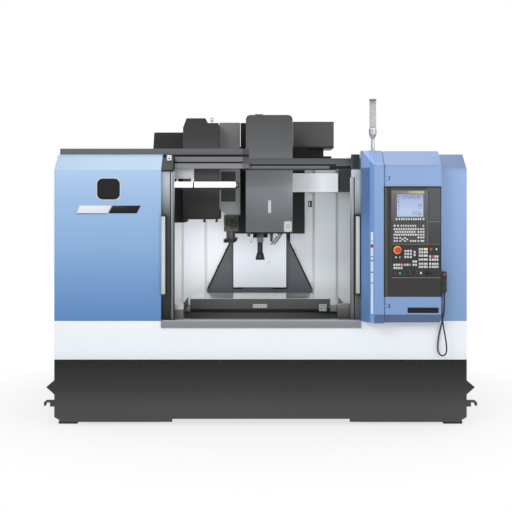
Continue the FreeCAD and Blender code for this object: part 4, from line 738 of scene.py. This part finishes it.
coat_nodes(coat("holder_steel", holder_colour, 0.28, metal=0.5, grain=600.0), "tool_holder")
plate((68, 94), (1693, 1806), -500, 1.5, 4)
plate((206, 272), (1531, 1622), -500, 1.5, 3)
piece("head_plates", plate_white, "head")
turned((240, -501, 1578), [(11, 0), (11, 1.5), (18, 1.5), (18, 0)], "Y", 28)
piece("head_plate_ring", paint("gold_ring", {1.5: (168, 174, 96), 1.7: (190, 194, 120)}, 0.4),
      "head")
screws([(x, -502, z) for x in (213, 265) for z in (1539, 1614)] +
       [(81, -502, z) for z in (1700, 1799)], 3.5)
screws([(x, -500, z) for x in (-112, 268) for z in (1650, 1980, 2300, 2500)], 4.0)
piece("head_screws", dark_screw, "head")
block((-87, -63), (-372, -340), (1443, 1527), 3.0)
turned((-75, -356, 1443), [(0, -14), (4, -14), (7, -6), (7, 2), (0, 2)], steps=16)
piece("air_block", plated, "head")
HOSE_LINES = (((104, -352), (118, -352), (150, -348), (196, -340)),
              ((128, -330), (150, -330), (176, -326), (206, -318)))
for line_of_x in HOSE_LINES:
    heights = (1424, 1446, 1482, 1528)
    knots = [Vector((x, y, z)) for (x, y), z in zip(line_of_x, heights)]
    for first, last in zip(knots, knots[1:]):
        for step in range(3):
            spot = first.lerp(last, step / 3)
            turned(spot, [(0, -8), (5, -8), (8, -2), (8, 4), (5, 8), (0, 8)], steps=12)
for x, y in ((104, -352), (128, -330)):
    turned((x, y, 1418), [(0, -8), (3, -8), (5, 4), (0, 4)], steps=12)
piece("coolant_hoses", paint("hose_grey", {1.4: (176, 178, 178), 1.55: (96, 97, 98)}, 0.3,
      metal=0.4), "head")
block((100, 214), (-362, -306), (1512, 1530), 3.0)
turned((160, -380, 1508), [(0, 0), (9, 0), (12, 8), (12, 22), (0, 22)], steps=16)
piece("coolant_manifold", black_fittings, "head")

# ------------------------------------------------------------------ tool changer
# A cast gearbox in a sprayed cover plunges and swings the double gripper arm. Its valves and
# switches are bolted on the hood below, with short cables. The magazine turns in its own cover.
def changer_colour(spot):
    across, high = spot.along("X"), spot.along("Z")
    # Painted light: above the dark hood the cover is palest at 1.69 m and darker towards its top.
    base = high.ramp({1.53: (66, 67, 62), 1.67: (96, 98, 96), 1.69: (182, 187, 189),
                      1.80: (166, 170, 172), 2.05: (146, 147, 148)})
    # Painted shade in the cover's recessed window.
    window_shade = across.within(-0.3425, -0.2155) * high.within(1.7915, 2.0555)
    return (window_shade * (spot.along("Y") > -0.3605)).mix(base, linear(64, 65, 61))


coat_nodes(coat("changer_paint", changer_colour, 0.4, gloss=0.35), "changer_gearbox")
coat_nodes(
    metal("ram_steel", linear(80, 82, 85), 0.25, (8.0, 8.0, 60.0), 0.08, 0.7), "changer_ram")
coat_nodes(metal("drawn_aluminium", linear(176, 179, 183), 0.36, (60.0, 60.0, 1.0), 0.12, 0.75),
           "lamp_post", "magazine_disc")


def magazine_colour(spot):
    high, across = spot.along("Z"), spot.along("X")
    # Painted light: the cover is brightest near 2.0 m and darker above and below it.
    base = high.ramp(
        {1.61: (48, 48, 46), 1.82: (58, 58, 54), 1.90: (78, 78, 77), 2.00: (112, 112, 112),
        2.06: (78, 79, 80), 2.2: (84, 85, 86), 2.34: (66, 66, 63), 2.5: (52, 52, 48)})
    return (across < -0.66).mix(base, linear(50, 50, 49))


coat_nodes(coat("magazine_paint", magazine_colour, 0.45, gloss=0.2), "magazine_cover")
block((-300, -262), (-372, -344), (1586, 1640), 3.0)
block((-256, -236), (-364, -344), (1556, 1596), 2.0)
block((-228, -200), (-378, -344), (1600, 1652), 3.0)
turned((-246, -344, 1628), [(0, 0), (13, 0), (13, 18), (8, 24), (0, 24)], "Y", 18)
turned((-212, -344, 1576), [(0, 0), (9, 0), (9, 26), (5, 30), (0, 30)], "Y", 18)
piece("changer_valves", black_fittings)
for x, z, r in ((-281, 1654, 7), (-281, 1574, 6), (-246, 1606, 5), (-214, 1662, 6),
                (-206, 1590, 5), (-262, 1650, 5), (-232, 1566, 5)):
    turned((x, -344, z), [(0, 0), (r, 0), (r, 12), (r * 0.6, 18), (0, 18)], "Y", 6)
screws([(x, -345, z) for x in (-308, -198) for z in (1545, 1662)], 5.0)
piece("changer_fittings", metal("brass_fittings", linear(112, 104, 78), 0.35))
for x, y in ((-640, -600), (-475, -604), (-372, -600)):
    turned(
        (x, y, 1640), [(0, -24), (9, -24), (11, -20), (11, -8), (6, -4), (6, 2), (0, 2)], steps=16)
piece("magazine_knobs", black_fittings)
turned((-426, -280, 2500), [(0, -2), (13, -2), (13, 4), (8, 6), (0, 6)], steps=18)
ring = bmesh.new()
circle = bmesh.ops.create_circle(ring, segments=10, radius=0.004)["verts"]
bmesh.ops.rotate(ring, matrix=Matrix.Rotation(math.pi / 2, 3, "X"), verts=circle)
bmesh.ops.translate(ring, vec=(0.013, 0, 0), verts=circle)
bmesh.ops.spin(ring, geom=ring.verts[:] + ring.edges[:], cent=(0, 0, 0), axis=(0, 0, 1),
               angle=math.tau, steps=28, use_merge=True)
bmesh.ops.recalc_face_normals(ring, faces=ring.faces)
bmesh.ops.rotate(ring, matrix=Matrix.Rotation(math.pi / 2, 3, "X"), verts=ring.verts)
bmesh.ops.translate(ring, vec=(-0.426, -0.28, 2.522), verts=ring.verts)
lay(ring)
piece("magazine_eyebolt", zinc)


# ------------------------------------------------------------------ boxes on roof and column
# Sheet boxes for the air unit, the lubricator and the coolant valves are sprayed dark grey.
# The cable tray on the right of the head is bare aluminium, painted palest where a reflection
# falls on it.
def box_colour(spot):
    across, deep, high = spot.along("X"), spot.along("Y"), spot.along("Z")
    base = across.ramp(
        {-0.94: (42, 42, 40), -0.6: (46, 46, 44), -0.35: (130, 130, 130), -0.17: (136, 136, 136),
        0.3: (72, 72, 72), 0.7: (88, 88, 88)})
    low_crate = across.within(0.30, 0.90) * (deep > 0.45) * (high < 2.33)
    base = low_crate.mix(base, linear(22, 22, 22))
    side_box = (across > 0.735) * (high < 2.11)
    base = side_box.mix(base, linear(58, 58, 58))
    tray = across.within(0.2, 0.735) * (deep < 0.4) * (high < 2.1)
    # Partly painted reflection: pale bare aluminium, painted palest near 0.58 m across.
    lip = across.ramp({0.29: (196, 198, 200), 0.45: (208, 212, 216), 0.58: (236, 240, 242),
                       0.73: (222, 226, 230)})
    return tray.mix(base, lip)


coat_nodes(coat("box_paint", box_colour, 0.42, gloss=0.2), "auxiliary_boxes")
coat_nodes(paint("cabinet_paint", {0.1: (188, 190, 193), 2.1: (206, 209, 212)}, 0.45),
           "electrical_cabinet", "cabinet_door")
for row in range(9):
    for low in (330, 1720):
        z = low + row * 24
        block((980, 1320), (1074, 1079), (z, z + 13), 3.0)
piece("cabinet_vents", paint("vent_grey", {0.2: (120, 122, 125), 2.0: (132, 134, 137)}, 0.5),
      "cabinet_door")

turned_row([(x, 1000, z) for x in (-400, 0, 400) for z in (720, 1240, 1760, 2270)],
           SCREW_HEAD, "Y", -1, grow=1.3)
turned_row([(x, 1083, z) for x in (740, 1490) for z in (185, 2058)], SCREW_HEAD, "Y", -1)
piece("rear_screws", zinc)
for z in (980, 1500, 2020):
    block((-449, 449), (999, 1001.5), (z - 2, z + 2), 0.5, 1)
piece("column_seams", black_rubber_and_shade)

# ------------------------------------------------------------------ work light
# A glass tube lamp on a folded bracket below the left rail: frosted and lit over most of its
# length, with black end cap, clamp rings and a white bracket plate.
def tube_glow(spot):
    across, deep, high = spot.along("X"), spot.along("Y"), spot.along("Z")
    return across.within(-0.705, -0.205) * (high > 1.906) * (deep < -0.85) * (high < 1.955)


tube_glass, tube_shader, tube_spot = new_finish("tube_glass")
lit = tube_glow(tube_spot)
# Painted shade: the tube's underside is dark below 1.912 m.
shell = tube_spot.along("Z").ramp({1.88: (40, 40, 42), 1.912: (60, 60, 62),
                                   1.92: (200, 204, 208), 2.06: (206, 209, 212)})
feed(tube_shader, "Base Color", shell)
feed(tube_shader, "Roughness", 0.25 + noise(tube_spot, 40.0) * 0.1)
feed(tube_shader, "Emission Color", lit.mix((0, 0, 0, 1), (1, 1, 1, 1)))
feed(tube_shader, "Emission Strength", 1.3)
coat_nodes(tube_glass, "work_light")
for x, wide, radius in ((-556, 12, 29), (-204, 8, 28), (-193, 5, 25)):
    turned((x, -860, 1926), [(0, 0), (radius, 0), (radius, wide), (0, wide)], "X", 28)
block((-563, -543), (-900, -880), (1896, 1906), 2.0)
# A dark strip under the tube stands for the shade below it: painted shade.
block((-706, -196), (-878, -842), (1889, 1901), 2.0)
block((-206, -176), (-884, -836), (1902, 1950), 3.0)
piece("light_rings", black_fittings)
turned((-554, -884, 1972), [(0, 0), (10, 0), (11, 4), (11, 14), (8, 17), (0, 17)], "Y", 20)
block((-562, -546), (-893, -880), (1950, 1964), 2.0)
piece("light_knob", plate_white)
screws([(-554, -905, 2014), (-690, -905, 2040)], 4.0)
piece("light_screws", dark_screw)

# ------------------------------------------------------------------ signal lamp
# A clear ribbed tube over a pale light core on an aluminium post, closed by a dark cap and
# seated in a bright collar.
coat_nodes(clear_sheet("lamp_shell", linear(206, 208, 206), 0.35, 0.1), "signal_lamp")
profile = [(0, 0), (20, 0)]
for low in range(6, 216, 14):
    profile += [(20, low), (22.5, low + 3), (22.5, low + 8), (20, low + 11)]
turned((903, -1060, 2372), profile + [(20, 224), (0, 224)], steps=32)
piece("lamp_core", paint("core_white", {2.37: (196, 196, 192), 2.42: (226, 226, 224),
      2.55: (214, 214, 212), 2.6: (120, 120, 120)}, 0.35))
turned((903, -1060, 2597), [(0, 0), (29.4, 0), (29.4, 10), (26, 14.8), (0, 14.8)], steps=32)
piece("lamp_cap", paint("cap_grey", {2.5: (92, 92, 92), 2.62: (112, 112, 112)}, 0.4))
turned((903, -1060, 2338), [(14, 0), (15, 0), (29.6, 22), (29.8, 34), (27, 38), (14, 38)],
       steps=32)
piece("lamp_collar", plated)

# ------------------------------------------------------------------ operator console
# A fixed pillar with a slanted face carries the swivelling sheet housing. The dark control
# face sits in a recess below a black strip of painted shade, and a lamp strip is let into the
# pillar.
def pillar_colour(spot):
    high = spot.along("Z")
    # Painted shade: the slanted facet is a darker copy of the front's blue, as it turns from the
    # light.
    facet = high.ramp(
        {0.83: (92, 132, 180), 1.1: (103, 146, 198), 1.55: (106, 149, 205), 1.72: (98, 132, 181),
        2.055: (97, 127, 173), 2.059: (150, 182, 232), 2.19: (152, 184, 232)})
    # Painted light: from 0.862 m across, the fold edge of the facet is painted as pale as the
    # front.
    facet = (spot.along("X") > 0.862).mix(facet, linear(128, 166, 226))
    front = high.ramp({0.83: (122, 154, 202), 1.7: (134, 166, 212), 2.04: (140, 170, 214),
                       2.10: (122, 150, 196), 2.19: (122, 150, 196)})
    # Painted shade on the tapered foot of the front, below 0.902 m.
    front = (high < 0.902).mix(front, linear(74, 98, 140))
    return (spot.along("X") > 0.891).mix(facet, front)


pillar_blue = coat(
    "pillar_blue", pillar_colour, 0.3, shine=0.1, grain=9.0, dents=0.02, mottle=0.02)
coat_nodes(pillar_blue, "operator_pillar")
# Painted shade: the housing's tapered underside, below 0.9 m, is dark blue.
coat_nodes(
    paint("console_blue", {0.84: (84, 103, 140), 0.899: (80, 103, 147), 0.903: (125, 156, 201),
    1.4: (134, 164, 208), 2.0: (142, 171, 215), 2.06: (140, 168, 212), 2.07: (128, 154, 198),
    2.19: (130, 156, 200)}, 0.3, **SPRAYED), "console_housing")
for hinge in (970, 1970):
    turned((990, -1232, hinge), [(0, -13), (22.5, -13), (22.5, 13), (0, 13)])
piece("hinge_knuckles", pillar_blue)


def face_colour(spot):
    across, high = spot.along("X"), spot.along("Z")
    base = high.ramp(
        {1.04: (58, 56, 54), 1.18: (58, 56, 54), 1.2: (68, 68, 66), 1.9: (80, 81, 78)})
    base = (across < 0.994).mix(base, linear(82, 83, 79))
    base = across.within(0.994, 1.0225).mix(base, linear(56, 57, 53))
    keys = across.within(1.0345, 1.305) * high.within(1.452, 1.63)
    base = keys.mix(base, linear(82, 81, 79))
    blank_plate = (across > 1.305) * (high > 1.452)
    base = blank_plate.mix(
        base, high.ramp({1.45: (66, 68, 68), 1.6: (74, 76, 80), 1.65: (84, 88, 93),
        1.9: (90, 93, 96)}))
    lower = across.within(1.0345, 1.4105) * high.within(1.1905, 1.4495)
    return lower.mix(base, linear(56, 54, 56))


coat_nodes(
    coat("face_plastic", face_colour, 0.5, grain=1400.0, mottle=0.02, gloss=0.2), "control_face")
coat_nodes(paint("screen_bezel", {1.63: (90, 89, 86), 1.87: (112, 110, 112)}, 0.45, gloss=0.25),
           "display_unit")
screen_finish, screen_shader, screen_spot = new_finish("lit_screen")
across, high = screen_spot.along("X"), screen_spot.along("Z")
glow = high.ramp(
    {1.669: (176, 196, 222), 1.72: (184, 202, 232), 1.79: (172, 188, 226), 1.845: (152, 164, 196)})
TEXT_ROWS = 84.0
rows = (high * TEXT_ROWS).math("FRACT", high * TEXT_ROWS).within(0.25, 0.75)
letters = noise(
    screen_spot.node("ShaderNodeMapping", Vector=screen_spot, i3=(260.0, 1.0, TEXT_ROWS)), 1.0,
    1.0) > 0.47
block_text = across.within(1.112, 1.252) * high.within(1.808, 1.838)
side_text = across.within(1.232, 1.268) * high.within(1.732, 1.77)
foot_text = across.within(1.19, 1.262) * high.within(1.676, 1.71)
head_text = across.within(1.072, 1.09) * high.within(1.72, 1.838)
ink = rows * letters * (block_text + side_text + foot_text + head_text).clamp()
glow = (ink * 0.8).mix(glow, linear(72, 86, 130))
feed(screen_shader, "Base Color", linear(20, 22, 28))
feed(screen_shader, "Roughness", 0.12 + noise(screen_spot, 30.0) * 0.06)
feed(screen_shader, "Emission Color", glow)
feed(screen_shader, "Emission Strength", 0.95)
block((1068, 1275), (-1256.5, -1253), (1669, 1845), 0.5, 1)
piece("screen", screen_finish, "console")
block((1031, 1282), (-1259.5, -1256), (1850, 1871), 1.0, rims="front")
piece("display_band", paint("band_gold", {1.03: (120, 118, 108), 1.15: (136, 134, 112),
      1.17: (172, 172, 120), 1.28: (186, 186, 126)}, 0.4, axis="X"), "console")


KEY_FIELD = -1253
KEY_RISE = 3.5


def keycaps(columns, rows, wide=13, tall=13, front=KEY_FIELD):
    """Keys in rows and columns of millimetres, each with a chamfered front."""
    for z in rows:
        for x in columns:
            block((x - wide / 2, x + wide / 2), (front - KEY_RISE, front + 1),
                  (z - tall / 2, z + tall / 2), 1.6, 1, rims="front")


key_white = paint("key_white", {1.2: (214, 214, 213), 1.7: (222, 222, 221)}, 0.4)
keycaps((1064, 1087, 1107, 1123, 1142, 1160, 1181, 1200, 1217, 1236, 1253, 1276), (1651,),
        11, 17, front=-1258)
spaced = [1050 + 18.4 * n for n in range(10)]
for columns, rows, wide, tall in (
        ((1050, 1077), (1598,), 14, 14),
        ([1103 + 18.4 * n for n in range(7)] + [1276], (1598,), 10, 15),
        (spaced, (1572, 1528), 13, 15), ([x + 9 for x in spaced[:9]], (1550,), 13, 15),
        ((1237, 1258, 1277), (1572, 1550, 1528, 1506), 13, 14),
        ((1050, 1070, 1095, 1131), (1502, 1479), 13, 13), ((1113, 1149), (1491,), 13, 13),
        ((1176, 1195, 1213, 1237), (1479,), 13, 13), ((1267.5,), (1479,), 28, 13)):
    keycaps(columns, rows, wide, tall)
for columns, rows in (
        ((1135, 1156, 1178), (1400, 1377, 1353)), ((1207,), (1392, 1369)),
        ((1199, 1218), (1318, 1292)), ((1247, 1266), (1414,)),
        ((1247, 1266, 1286, 1302), (1390, 1364, 1333, 1300, 1276)),
        ((1329, 1368, 1386), (1357,)), ((1329, 1350, 1368, 1386), (1332, 1300, 1276)),
        ((1048, 1066, 1085), (1292,)), ((1048, 1066, 1085, 1105), (1267,)), ((1152,), (1292,)),
        ((1257,), (1228,))):
    keycaps(columns, rows, 14.5, 17)
piece("white_keys", key_white, "console")


def lit_keys(name, colour, places, wide=14.5, tall=17.0, glow=0.3):
    """A few coloured keys of one kind, with their lamps behind them."""
    for x, z in places:
        keycaps((x,), (z,), wide, tall)
    made, shader, spot = new_finish(name)
    feed(shader, "Base Color", (noise(spot, 200.0) * 0.4).mix(linear(*colour), linear(
        *[min(255, c * 1.15) for c in colour])))
    feed(shader, "Roughness", 0.35 + noise(spot, 90.0) * 0.1)
    feed(shader, "Emission Color", linear(*colour))
    feed(shader, "Emission Strength", glow)
    piece(name, made, "console")


lit_keys("lime_keys", (206, 214, 130), ((1286, 1414), (1302, 1414)))
lit_keys("red_keys", (196, 44, 66), ((1350, 1357), (1337, 1414)))
lit_keys("rose_keys", (206, 150, 164), ((1105, 1292), (1131, 1292)))
lit_keys("grey_keys", (120, 128, 128), ((1170, 1292),))
lit_keys("green_lamps", (150, 226, 190), ((1061, 1351), (1379, 1414)), 10, 12, 0.6)
lit_keys("pale_lamps", (140, 196, 172), ((1091, 1351),), 10, 12, 0.3)

trim_grey = paint("trim_grey", {1.1: (124, 122, 120), 1.9: (132, 131, 129)}, 0.35, metal=0.3)
for x, z in (((1296, 1411), (1628, 1632)), ((1311, 1411), (1451, 1454)),
             ((1031, 1411), (1188, 1193)), ((1031, 1311), (1449, 1451.5)),
             ((1308, 1311), (1452, 1632))):
    block(x, (-1254, -1248), z, 0.6, 1)
piece("face_trims", trim_grey, "console")
yellow = paint("yellow_ring", {1.3: (244, 204, 76), 1.5: (250, 214, 92)}, 0.35)
turned((1073, -1252, 1408), [(21, 0), (21, 3), (30, 3), (31, 2), (31, 0)], "Y", 40)
piece("stop_ring", yellow, "console")
for middle in (1158, 1206):
    for tick in range(11):
        angle = math.radians(-150 + 30 * tick)
        x, z = middle + 21.5 * math.sin(angle), 1230 + 21.5 * math.cos(angle)
        turned((x, -1253, z), [(0, 0), (1.3, 0), (1.3, 0.5), (0, 0.5)], "Y", 6)
piece("knob_scales", plate_white, "console")
turned((1337, -1253, 1227), [(0, 0), (12, 0), (12, 4), (9, 6), (9, 4), (0, 4)], "Y", 28)
block((1335.5, 1338.5), (-1268, -1255), (1219, 1235), 1.0)
piece("spare_lock", dark_steel, "console")
# The top strip is painted shade under the housing's top edge; the side strips are its dark rims.
block((972, 1416), (-1256, -1247), (1898, 1907), 1.5)
block((966, 974), (-1251.5, -1247), (1039, 1907), 0.8)
block((1412, 1417), (-1251.5, -1247), (1039, 1898), 0.8)
piece("face_surround", paint("surround_black_and_shade", {1.0: (30, 31, 31), 1.9: (36, 37, 36)}, 0.5,
      gloss=0.2), "console")
block((974, 985.5), (-1250.8, -1247), (1039, 1898), 0.4)
piece("face_margin", paint("margin_grey", {1.0: (78, 79, 76), 1.9: (88, 90, 86)}, 0.5, gloss=0.2),
      "console")
plate((1153, 1396), (914, 956), -1250, 2.0, 4)
piece("blank_maker_plate", plate_black, "console")

# The lamp strip: a white lens in short lengths, with one red length and dark joints.
strip_white = paint("strip_white", {0.9: (225, 236, 250), 1.6: (240, 246, 255)}, 0.3)
strip_shader = strip_white.node_tree.nodes["Principled BSDF"]
feed(strip_shader, "Emission Color", linear(205, 225, 255))
feed(strip_shader, "Emission Strength", 0.08)
FACET = (877.0, -1228.4)
FACET_TURN = math.atan2(-0.82, 0.57)
for name, rows_of_strip, wide, finish in (
        ("strip_lens", ((1150, 1228), (1236, 1320), (1328, 1352), (1358, 1424), (1452, 1476),
                        (1482, 1548), (905, 1144)), 25, strip_white),
        ("strip_red", ((1430, 1450),), 27, paint("strip_red", {1.4: (190, 40, 60)}, 0.3)),
        ("strip_joints", ((1352, 1358), (1228, 1236), (1320, 1328), (1144, 1150)), 25,
         paint("strip_blue", {1.0: (52, 70, 110)}, 0.3))):
    for z in rows_of_strip:
        block((FACET[0] - wide / 2, FACET[0] + wide / 2),
              (FACET[1] - 3, FACET[1] + 3), z, 1.0, 1, FACET_TURN)
    piece(name, finish)


# ------------------------------------------------------------------ buttons and pendant
# Moulded caps: red mushroom and stop buttons, a green start button and black knobs. The pendant
# is a black moulded box with a rubber boot round its cable.
def plastic(name, colour, rough=0.3, strength=0.0):
    made, shader, spot = new_finish(name)
    worn = tuple(min(1.0, c * 1.25 + 0.01) for c in colour[:3]) + (1.0,)
    feed(shader, "Base Color", ((noise(spot, 60.0) - 0.5) * 1.5).clamp().mix(colour, worn))
    feed(shader, "Roughness", rough + (noise(spot, 90.0) - 0.5) * 0.12)
    feed(shader, "Normal", bump(spot, noise(spot, 1400.0, 2.0), 0.08, 0.0003))
    feed(shader, "Emission Color", colour)
    feed(shader, "Emission Strength", strength)
    return made


# The red stop caps are given a faint glow, painted light, though they hold no lamp.
coat_nodes(plastic("red_plastic", linear(206, 44, 34), 0.25, strength=0.2), "emergency_stop",
           "pendant_stop")
coat_nodes(plastic("dim_red", linear(130, 36, 44), 0.25, strength=0.1), "hold_button")
coat_nodes(plastic("green_plastic", linear(60, 150, 96), 0.25, strength=0.3), "start_button")
coat_nodes(plastic("black_plastic", linear(30, 31, 32), 0.28), "feed_knob", "speed_knob",
           "pendant_dial", "axis_knob", "step_knob", "pendant_body")
turned_row(((1091, KEY_FIELD, 1226), (1057, KEY_FIELD, 1226)),
           ((10, 0), (10, 3), (13, 3), (14, 0)), steps=28)
piece("button_bezels", dark_steel, "console")
turned((1438, -1148, 1012), [(6.5, 0), (8, 2), (8, 8), (7.2, 10), (8.6, 12), (8.6, 18), (7.6, 20),
       (9.4, 22), (9.4, 30), (10.5, 36), (0, 36)], steps=20)
piece("cable_boot", rubber, "console")
